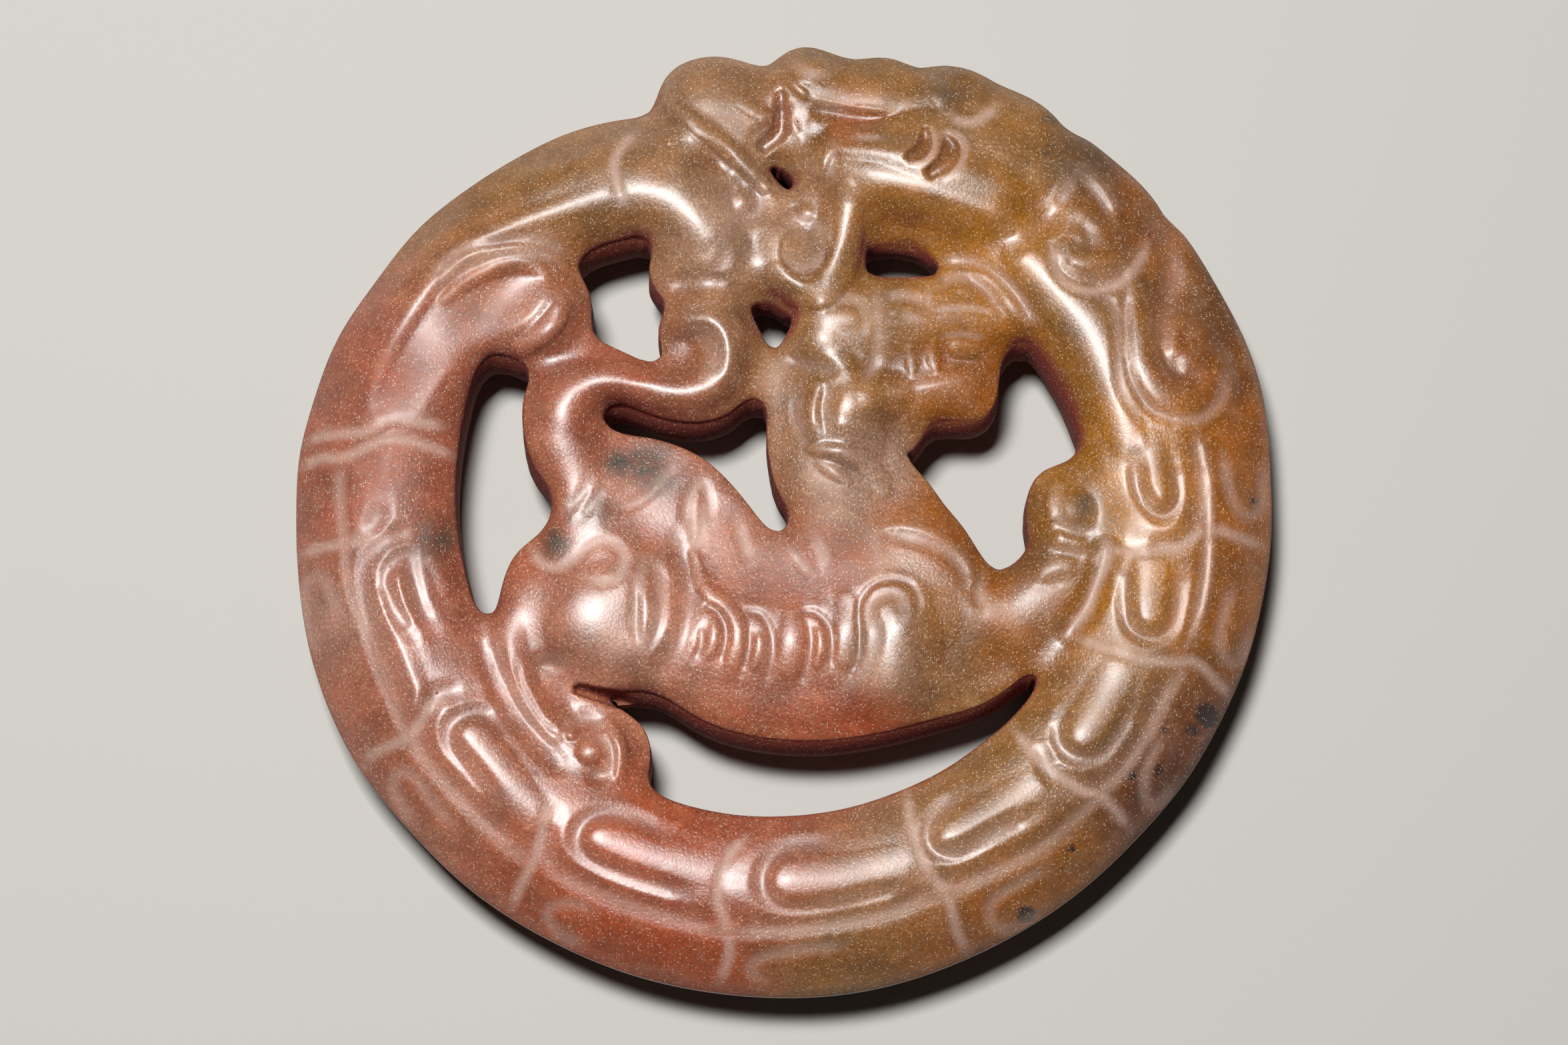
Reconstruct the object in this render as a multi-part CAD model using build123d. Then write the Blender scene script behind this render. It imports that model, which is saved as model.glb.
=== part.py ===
from build123d import *
import math
import os

import numpy as np
from scipy.interpolate import CubicSpline
from scipy.spatial import Delaunay

os.makedirs("parts", exist_ok=True)

# Driving sizes in millimetres: the pendant lies on its back, x to the right, y up, z towards the viewer
width = 60.0
height = 59.4
front_rise = 4.5
back_depth = 4.5
rim_land = 0.9
outer_reach = 3.2
opening_reach = 1.7
back_reach = 2.4
back_wall = 2.2
front_facet = 0.95
back_facet = 3.0
rim_facet = 0.85
edge_facet = 0.5

# The tables hold x in hundredths of half the width, y on the same scale, where the outline spans 198 in
# all, and heights in hundredths of the rise of the front
x_unit = width / 200
y_unit = height / 198
z_unit = front_rise / 100
ground_height = 50
fullness = 0.62

# Each smooth curve is read at this many places for each of its points, and a row of facets along an edge
# keeps this share of its distance from every edge; missed edges are halved up to this many times
curve_places = 40
clear_share = 0.97
halvings = 6
fewest_facets = 8

# Bands of facets round the back's edges: share of its rounding, stride along the edge
back_bands = [(0.15, 1), (0.45, 1), (1, 2)]

# Outline, clockwise from the left end: x, y
outline = [
    (-100, 4), (-99.5, 14), (-97.2, 24), (-92.3, 38), (-85.6, 48.8), (-80.2, 56.4), (-75.4, 62.1),
    (-70, 66.9), (-63.4, 71.8), (-54.7, 77.3), (-43.6, 82.6), (-32.5, 85.2), (-28.2, 86.3),
    (-26.6, 89.4), (-25, 93.6), (-21.8, 96.8), (-17.4, 98.4), (-12.7, 98.6), (-7.1, 97.1),
    (-3.7, 96.4), (-1.3, 98.2), (2.2, 100.4), (5.3, 100.7), (10.1, 99.3), (14.1, 98), (18.7, 98.4),
    (23.4, 98), (28.1, 96.1), (32.1, 96.7), (40.1, 95.3), (44.4, 92.8), (49.7, 90.5),
    (55.8, 86.4), (59.1, 82.7), (62.5, 81.1), (67.2, 77.5), (72, 73.3), (77.2, 67.4), (79.5, 63.6),
    (81.5, 62), (85.4, 56.8), (89.7, 49.2), (95.1, 38.3), (98.9, 25), (100, 10), (99.7, -5),
    (97.2, -19.2), (93.1, -32.2), (84.7, -48.7), (77.8, -58.2), (63, -73.3), (44.4, -85.9),
    (22.4, -94.6), (0.6, -97.3), (-23.5, -94.6), (-43.5, -87.6), (-63.5, -75.4), (-78.2, -60.9),
    (-87.1, -49.5), (-94, -35.3), (-97.8, -22), (-99.6, -8),
]

# Openings, each with the height of its front edge and its outline: x, y
openings = {
    "under_small_head": (50, [
        (-42.4, 52.6), (-39.3, 56.1), (-33.3, 58.1), (-28.6, 58.7), (-27.1, 56), (-27.9, 51.5),
        (-26.1, 47.4), (-24.3, 43.8), (-25.9, 39.5), (-25, 33.2), (-27.9, 32.5), (-33.8, 35.1),
        (-38.8, 37.9), (-39.4, 41.7), (-39.6, 46), (-41.1, 49.6)]),
    "left_crescent": (50, [
        (-60, 34), (-56.6, 33.7), (-52.6, 31.5), (-52.1, 28.9), (-53.2, 25.7), (-53.5, 19.5),
        (-51.8, 11.8), (-49.2, 7.6), (-47.3, 3.5), (-48.8, -2), (-53.8, -6.5), (-56.5, -11),
        (-57.9, -16.6), (-59.4, -20.3), (-61.7, -19.4), (-63.9, -14.4), (-66.1, -4.6), (-66.9, 5),
        (-66.3, 15.5), (-64.7, 25), (-62.9, 30.8)]),
    "under_tail": (50, [
        (-37.2, 20.9), (-36, 23), (-34, 23.7), (-30.2, 22.5), (-23.8, 20.3), (-16.2, 19.8),
        (-10.4, 22.1), (-6.8, 24.9), (-3.9, 24), (-3.6, 18.5), (-3.1, 12.5), (-1.4, 5.7),
        (0.8, 1.2), (0.4, -2.5), (-2.2, -2.7), (-5.3, 0.3), (-10, 6.3), (-15.5, 11.7),
        (-20.6, 14.6), (-28, 16.8), (-34.4, 18)]),
    "right_bay": (44, [
        (25, 13.6), (26.4, 14.8), (28.8, 17.9), (31.6, 20.2), (35.2, 20.2), (39.3, 20.4),
        (42.8, 23.1), (44.2, 28.5), (44.6, 32.3), (47, 36.3), (50, 36.9), (53.9, 31.9),
        (56.8, 26.7), (59.2, 20.8), (60.4, 14.8), (58, 12), (53, 10), (50, 5.8), (49.3, -0.7),
        (49.8, -5.6), (47.6, -8.6), (44, -10.8), (41.2, -9), (36.8, -2), (33.2, 2.4),
        (29.3, 7.9)]),
    "belly_crescent": (50, [
        (-36, -36.3), (-33.4, -35.9), (-27.5, -35.9), (-22.7, -37.9), (-18, -40.9),
        (-10.2, -44), (0.6, -45.7), (11.5, -45.5), (22.3, -43.6), (33.2, -40.7), (43.4, -36.6),
        (50.8, -31.7), (51.4, -33.7), (46, -41.2), (40, -46.3), (32.6, -51.5), (22.3, -56.4),
        (11.6, -59.7), (0.6, -61.1), (-10, -60.8), (-20.2, -58.7), (-25.3, -56.6), (-27.3, -54.2),
        (-26.9, -50.3), (-26.9, -47), (-28.3, -43.1), (-31.5, -40.3)]),
    "nape_gap": (36, [
        (-6.9, 44.3), (-4.6, 46.6), (-0.9, 45), (2, 42.2), (0.7, 39), (-1.8, 35.3), (-3.7, 36.8),
        (-5.3, 40.3)]),
    "chin_gap": (44, [
        (17, 51.4), (16.9, 54.8), (17.5, 57.6), (20.2, 58.4), (24.4, 58.3), (28, 57.3), (31, 54.7),
        (32.2, 51.4), (27, 50.5), (21.6, 50.4)]),
    "cord_hole": (26, [
        (-3.1, 73.8), (-1.9, 75.5), (0.4, 74.6), (1.8, 72.2), (2.1, 70.1), (1.1, 69.1), (-0.7, 70.6),
        (-2.2, 72.3)]),
}

# The dragon's body runs round the ring: angle in degrees, crest radius, reach inwards, reach outwards, height
ring_centre = (0, -1)
ring_stations = [
    (-180, 84, 22, 18, 98), (-150, 80, 21, 23, 100), (-120, 76, 19, 26, 100), (-90, 75, 19, 27, 100),
    (-60, 76, 19, 26, 100), (-30, 77, 20, 26, 100), (0, 76, 20, 27, 100), (25, 74, 18, 27, 98),
    (45, 74, 16, 18, 90), (54, 74, 14, 14, 40), (60, 74, 14, 14, 0), (96, 76, 14, 14, 0),
    (103, 77, 16, 14, 80), (112, 78, 18, 13, 98), (130, 86, 22, 12, 100), (150, 87, 24, 14, 98),
    (180, 84, 22, 18, 98),
]

# Raised forms, each a limb along its spine: x, y, half width, height, from an origin a little below
forms_origin = (0, -2)
forms = {
    "small_head": [(-34, 72, 17, 98), (-23, 68, 14, 98), (-16, 61, 11, 96), (-14, 54, 9, 86)],
    "small_head_crest": [(-22, 89, 9, 72), (-14, 91, 9, 72), (-6, 86, 9, 68)],
    "small_head_beak": [(-22, 58, 8, 78), (-17, 55, 8, 80), (-10, 53, 7, 78)],
    "snout": [(-1, 92, 8, 70), (5, 95, 8, 78), (15, 92, 9, 78), (28, 90, 10, 76)],
    "brow": [(28, 90, 10, 76), (42, 86, 12, 80), (54, 77, 13, 80), (62, 70, 12, 78)],
    "cheek": [(9, 76, 8, 88), (18, 73, 12, 98), (30, 71, 14, 100), (42, 66, 14, 98)],
    "jaw_curl": [(13, 67, 7, 84), (12, 60, 8, 84), (6, 52, 8, 84), (0, 54, 8, 82), (-1, 60, 7, 78)],
    "ear_spiral": [(60, 58, 12, 96), (64, 57, 12, 96)],
    "neck": [(48, 58, 12, 94), (56, 50, 12, 98), (64, 41, 12, 100), (69, 30, 13, 100), (73, 18, 14, 100)],
    "mane_lock": [(74, 55, 7, 84), (72, 45, 7, 86), (73, 34, 8, 88), (78, 27, 8, 88), (86, 31, 8, 86)],
    "mane_tip": [(84, 40, 8, 84)],
    "leaf": [(-73, 38, 13, 72), (-64, 44, 17, 80), (-54, 47, 13, 86), (-49, 46, 9, 90)],
    "leaf_roll": [(-56, 39, 6, 84), (-49, 41, 8, 96), (-46, 46, 7, 90)],
    "tail": [
        (-46, 18, 10, 92), (-45, 27, 9, 90), (-36, 30, 8, 88), (-28, 28, 7.5, 88), (-19, 26.5, 7.5, 88),
        (-13, 31, 8, 92), (-11.5, 38, 8, 94), (-15, 44, 8, 94), (-20, 43, 7, 90)],
    "rump": [(-46, 20, 10, 90), (-43, 8, 13, 80), (-38, -5, 18, 82)],
    "back": [(-30, 6, 14, 72), (-18, -4, 15, 74), (-2, -14, 17, 78), (12, -12, 18, 80)],
    "trunk": [(-38, -18, 24, 90), (-20, -23, 23, 86), (0, -25, 23, 84), (22, -23, 24, 88)],
    "haunch": [(-39, -18, 18, 102), (-33, -13, 17, 96)],
    "shoulder": [(20, -20, 15, 102), (21, -28, 14, 98)],
    "hind_leg": [
        (-53, -14, 9, 80), (-56, -24, 7, 84), (-53, -33, 6, 84), (-46, -42, 6, 82), (-40, -48, 8, 84)],
    "hind_paw": [(-36, -47, 9, 88)],
    "tiger_neck": [(12, 28, 15, 86), (9, 12, 14, 80), (12, -4, 18, 84), (20, -16, 20, 90)],
    "chest": [(26, -6, 16, 84), (33, -18, 17, 84)],
    "foreleg": [(36, -20, 16, 84), (47, -19, 12, 80), (56, -12, 12, 82), (58, -2, 11, 84)],
    "fore_paw": [(57, 3, 9, 94)],
    "tiger_head": [(8, 41, 12, 88), (22, 43, 14, 92), (36, 44, 12, 88), (45, 43, 8, 82)],
    "tiger_ear": [(9, 43, 8, 96)],
    "tiger_jowl": [(15, 26, 9, 100)],
    "tiger_muzzle": [(26, 26, 10, 82), (36, 28, 9, 80)],
}


def scaled(points):
    """Table places in millimetres."""
    return np.array(points, float)[:, :2] * (x_unit, y_unit)


def smooth_loop(points, step):
    """Closed smooth curve through the points, divided into equal steps."""
    corners = scaled(points + points[:1])
    runs = np.sqrt(np.hypot(*np.diff(corners, axis=0).T))
    places = np.concatenate([[0], np.cumsum(runs)])
    curve = CubicSpline(places, corners, bc_type="periodic")
    fine = curve(np.linspace(0, places[-1], curve_places * len(points) + 1))
    lengths = np.concatenate([[0], np.cumsum(np.hypot(*np.diff(fine, axis=0).T))])
    count = max(fewest_facets, round(lengths[-1] / step))
    even = np.linspace(0, lengths[-1], count, endpoint=False)
    return np.column_stack([np.interp(even, lengths, fine[:, 0]), np.interp(even, lengths, fine[:, 1])])


def inside(points, loop):
    """True for the points that lie inside the loop."""
    x, y = points[:, 0, None], points[:, 1, None]
    start, end = loop, np.roll(loop, -1, axis=0)
    spans = (start[:, 1] > y) != (end[:, 1] > y)
    rise = np.where(end[:, 1] == start[:, 1], 1, end[:, 1] - start[:, 1])
    crossing = start[:, 0] + (y - start[:, 1]) * (end[:, 0] - start[:, 0]) / rise
    return (spans & (x < crossing)).sum(axis=1) % 2 == 1


def in_stone(points, loops):
    """True for the points inside the outline and outside every opening."""
    found = inside(points, loops[0])
    for loop in loops[1:]:
        found &= ~inside(points, loop)
    return found


def distance(points, loop):
    """Distance from each point to the loop."""
    start, end = loop, np.roll(loop, -1, axis=0)
    run = end - start
    offset = points[:, None] - start
    share = np.clip((offset * run).sum(axis=2) / (run ** 2).sum(axis=1), 0, 1)
    gap = offset - share[:, :, None] * run
    return np.sqrt((gap ** 2).sum(axis=2).min(axis=1))


def rounded(gap, reach):
    """Quarter-round profile: 0 at an edge, 1 from the reach inwards."""
    return np.sqrt(1 - (1 - np.clip(gap / reach, 0, 1)) ** 2)


def section(offset):
    """Height share across a limb, where an offset of 1 is its edge."""
    return np.clip(1 - offset ** 2, 0, 1) ** fullness


def limb_height(x, y, spine):
    """Height of one raised form at table places x, y."""
    if len(spine) == 1:
        centre_x, centre_y, half_width, crest = spine[0]
        return crest * section(np.hypot(x - centre_x, y - centre_y) / half_width)
    found = np.zeros_like(x)
    for start, end in zip(np.array(spine[:-1], float), np.array(spine[1:], float)):
        run = end[:2] - start[:2]
        share = np.clip(((x - start[0]) * run[0] + (y - start[1]) * run[1]) / (run @ run), 0, 1)
        gap = np.hypot(x - start[0] - share * run[0], y - start[1] - share * run[1])
        half_width = start[2] + share * (end[2] - start[2])
        crest = start[3] + share * (end[3] - start[3])
        found = np.maximum(found, crest * section(gap / half_width))
    return found


def ring_height(x, y):
    """Height of the dragon's body at table places x, y."""
    stations = np.array(ring_stations, float)
    angle = np.degrees(np.arctan2(y - ring_centre[1], x - ring_centre[0]))
    radius = np.hypot(x - ring_centre[0], y - ring_centre[1])
    crest_radius, inner, outer, crest = (np.interp(angle, stations[:, 0], stations[:, k]) for k in (1, 2, 3, 4))
    offset = (radius - crest_radius) / np.where(radius < crest_radius, inner, outer)
    return crest * section(offset)


def front_height(points, loops, edges):
    """Height of the front above the middle plane, in millimetres."""
    x, y = points[:, 0] / x_unit, points[:, 1] / y_unit
    raised = np.maximum(ground_height, ring_height(x, y))
    for spine in forms.values():
        raised = np.maximum(raised, limb_height(x - forms_origin[0], y - forms_origin[1], spine))
    z = raised * z_unit
    reaches = [outer_reach] + [opening_reach] * len(openings)
    for loop, edge, reach in zip(loops, edges, reaches):
        z = edge + (z - edge) * rounded(distance(points, loop), reach)
    return z


def back_height(points, loops, edges):
    """Height of the plain back, which is rounded at its edges and flat between them."""
    z = np.full(len(points), -back_depth)
    for loop, edge in zip(loops, edges):
        z = edge + (z - edge) * rounded(distance(points, loop), back_reach)
    return z


def inset(loops, gap, stride):
    """Places that follow every edge at one distance, taking each stride-th point of it."""
    places = []
    for loop in loops:
        run = np.roll(loop, -1, axis=0) - np.roll(loop, 1, axis=0)
        across = gap * np.column_stack([-run[:, 1], run[:, 0]]) / np.hypot(*run.T)[:, None]
        places += [(loop + across)[::stride], (loop - across)[::stride]]
    places = np.vstack(places)
    places = places[in_stone(places, loops)]
    for loop in loops:
        places = places[distance(places, loop) > clear_share * gap]
    kept = []
    for place in places:
        if not kept or np.hypot(*(np.array(kept) - place).T).min() > rim_facet / 2:
            kept.append(place)
    return np.array(kept)


def filling(loops, step, clear):
    """Evenly spread places in the stone, clear of every edge."""
    row_gap = step * math.sqrt(3) / 2
    rows = np.arange(-height / 2, height / 2, row_gap)
    columns = np.arange(-width / 2, width / 2, step)
    grid = np.array([(x + (k % 2) * step / 2, y) for k, y in enumerate(rows) for x in columns])
    grid = grid[in_stone(grid, loops)]
    for loop in loops:
        grid = grid[distance(grid, loop) > clear]
    return grid


def loop_edges(loops):
    """Pairs of point numbers along every loop."""
    pairs, first = [], 0
    for loop in loops:
        count = len(loop)
        pairs += [(first + k, first + (k + 1) % count) for k in range(count)]
        first += count
    return pairs


def triangles(loops, places):
    """Triangles over the stone, and the loop edges that they miss."""
    points = np.vstack(loops + [places])
    found = Delaunay(points).simplices
    found = found[in_stone(points[found].mean(axis=1), loops)]
    used = {frozenset(pair) for three in found for pair in zip(three, np.roll(three, -1))}
    return points, found, [pair for pair in loop_edges(loops) if frozenset(pair) not in used]


def split(loops, missed):
    """The loops with a point added halfway along each missed edge."""
    starts = {pair[0] for pair in missed}
    finer, first = [], 0
    for loop in loops:
        points = []
        for k, point in enumerate(loop):
            points.append(point)
            if first + k in starts:
                points.append((point + loop[(k + 1) % len(loop)]) / 2)
        finer.append(np.array(points))
        first += len(loop)
    return finer


def meshed(loops):
    """Front and back triangles that share the points of the same loops."""
    for _ in range(halvings):
        front_edge = inset(loops, edge_facet, 1)
        front_fill = filling(loops, front_facet, edge_facet + front_facet / 2)
        front = triangles(loops, np.vstack([front_edge, front_fill]))
        bands = [inset(loops, share * back_reach, stride) for share, stride in back_bands]
        back_fill = filling(loops, back_facet, back_reach + back_facet / 2)
        back = triangles(loops, np.vstack(bands + [back_fill]))
        missed = set(front[2]) | set(back[2])
        if not missed:
            return loops, front, back
        loops = split(loops, missed)
    raise ValueError("the openings lie too close together")


def facet(corners):
    """Flat face with these corners."""
    return Face(Wire.make_polygon([tuple(corner) for corner in corners]))


def carved_stone():
    """The whole pendant as one closed solid."""
    loops = [smooth_loop(outline, rim_facet)]
    loops += [smooth_loop(points, rim_facet) for _, points in openings.values()]
    front_edges = [rim_land / 2] + [edge * z_unit for edge, _ in openings.values()]
    back_edges = [-rim_land / 2] + [-back_wall] * len(openings)
    loops, front, back = meshed(loops)
    tops = np.column_stack([front[0], front_height(front[0], loops, front_edges)])
    bottoms = np.column_stack([back[0], back_height(back[0], loops, back_edges)])
    faces = [facet(tops[three]) for three in front[1]]
    faces += [facet(bottoms[three[::-1]]) for three in back[1]]
    for start, end in loop_edges(loops):
        faces.append(facet([tops[start], tops[end], bottoms[end], bottoms[start]]))
    return Solid(Shell(faces))


def seated(shape):
    """The shape with its box centred over the origin and its back on the ground plane."""
    box = shape.bounding_box()
    middle = box.center()
    return Pos(-middle.X, -middle.Y, -box.min.Z) * shape


stone = seated(carved_stone())
stone.label = "carved_stone"
export_step(stone, "parts/carved_stone.step")
print("carved_stone", stone.is_valid, len(stone.faces()), stone.bounding_box(), round(stone.volume, 1))
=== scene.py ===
"""Carved jade pendant: a ring-shaped dragon with a tiger inside it, laid on a pale studio floor.

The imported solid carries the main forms. This script takes a copy of it, makes its skin fine and even, carves
the ornament into the front, and gives it the colours and the satin polish of a stained jade.
"""

import math

import bmesh
import bpy
import numpy as np
from bpy.props import FloatProperty, FloatVectorProperty, IntProperty, PointerProperty
from bpy.types import Operator, Panel, PropertyGroup
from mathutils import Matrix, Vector


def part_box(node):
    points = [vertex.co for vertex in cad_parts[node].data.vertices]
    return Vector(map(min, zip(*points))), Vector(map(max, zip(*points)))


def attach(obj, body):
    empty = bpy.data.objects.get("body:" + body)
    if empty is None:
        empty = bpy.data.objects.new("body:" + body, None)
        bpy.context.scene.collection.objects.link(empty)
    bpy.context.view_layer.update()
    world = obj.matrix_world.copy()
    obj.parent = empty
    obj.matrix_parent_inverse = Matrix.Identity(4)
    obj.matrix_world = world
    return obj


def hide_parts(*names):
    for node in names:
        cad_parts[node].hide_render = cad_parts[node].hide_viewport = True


bl_info = {
    "name": "Carved Jade Pendant",
    "version": (1, 0, 0),
    "blender": (4, 5, 0),
    "location": "View3D > Sidebar > Pendant",
    "description": "Builds the carved stone and its studio stage on the packed frame",
    "category": "Object",
}

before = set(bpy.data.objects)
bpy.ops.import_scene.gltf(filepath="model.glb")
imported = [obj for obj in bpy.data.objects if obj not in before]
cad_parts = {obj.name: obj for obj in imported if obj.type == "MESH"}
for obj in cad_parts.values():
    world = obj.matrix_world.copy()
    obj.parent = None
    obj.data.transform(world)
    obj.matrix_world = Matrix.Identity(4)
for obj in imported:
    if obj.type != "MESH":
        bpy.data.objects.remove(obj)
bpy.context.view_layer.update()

STONE_NODE = "carved_stone"

# The frame gives the sizes that every table below is held in
box_low, box_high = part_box(STONE_NODE)
box_size = box_high - box_low

# The outline spans 200 units across and 198 units up, from 97.3 below the tables' origin to 100.7 above it
X_UNIT = box_size.x / 200
Y_UNIT = box_size.y / 198
ORIGIN_Y = -(100.7 - 97.3) / 2 * Y_UNIT

# The widest place of the stone's edge lies about half way up. Heights are counted from there, and the front's
# highest place is at 102
MID_HEIGHT = box_size.z * 0.4956
RISE_UNIT = (box_size.z - MID_HEIGHT) / 102


def linear(hex_colour):
    """sRGB hex colour as linear red, green and blue."""
    parts = [int(hex_colour[k:k + 2], 16) / 255 for k in (1, 3, 5)]
    return [part / 12.92 if part <= 0.04045 else ((part + 0.055) / 1.055) ** 2.4 for part in parts]


# Carving tools: rise and half width of the mark, in table units, and how much frosted grit it leaves
TOOLS = {
    "hairline": (-1.5, 1.1, 0.6),
    "scribe": (-3.0, 1.4, 0.2),
    "joint": (-1.8, 1.9, 0.75),
    "groove": (-2.6, 2.1, 0.45),
    "gouge": (-5.0, 3.0, 0.25),
    "crease": (-4.8, 3.6, 0.15),
    "valley": (-7.0, 6.0, 0.0),
    "arris": (2.2, 1.4, 0.2),
    "ridge": (3.5, 2.6, 0.0),
    "roll": (5.0, 4.0, 0.0),
}

# How a form's height runs across it: the power of its round section, and the share of the rise it is given
SECTIONS = {
    "mound": (1.4, 0.55),
    "pillow": (0.8, 0.7),
    "pit": (0.5, 1.0),
}

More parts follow.
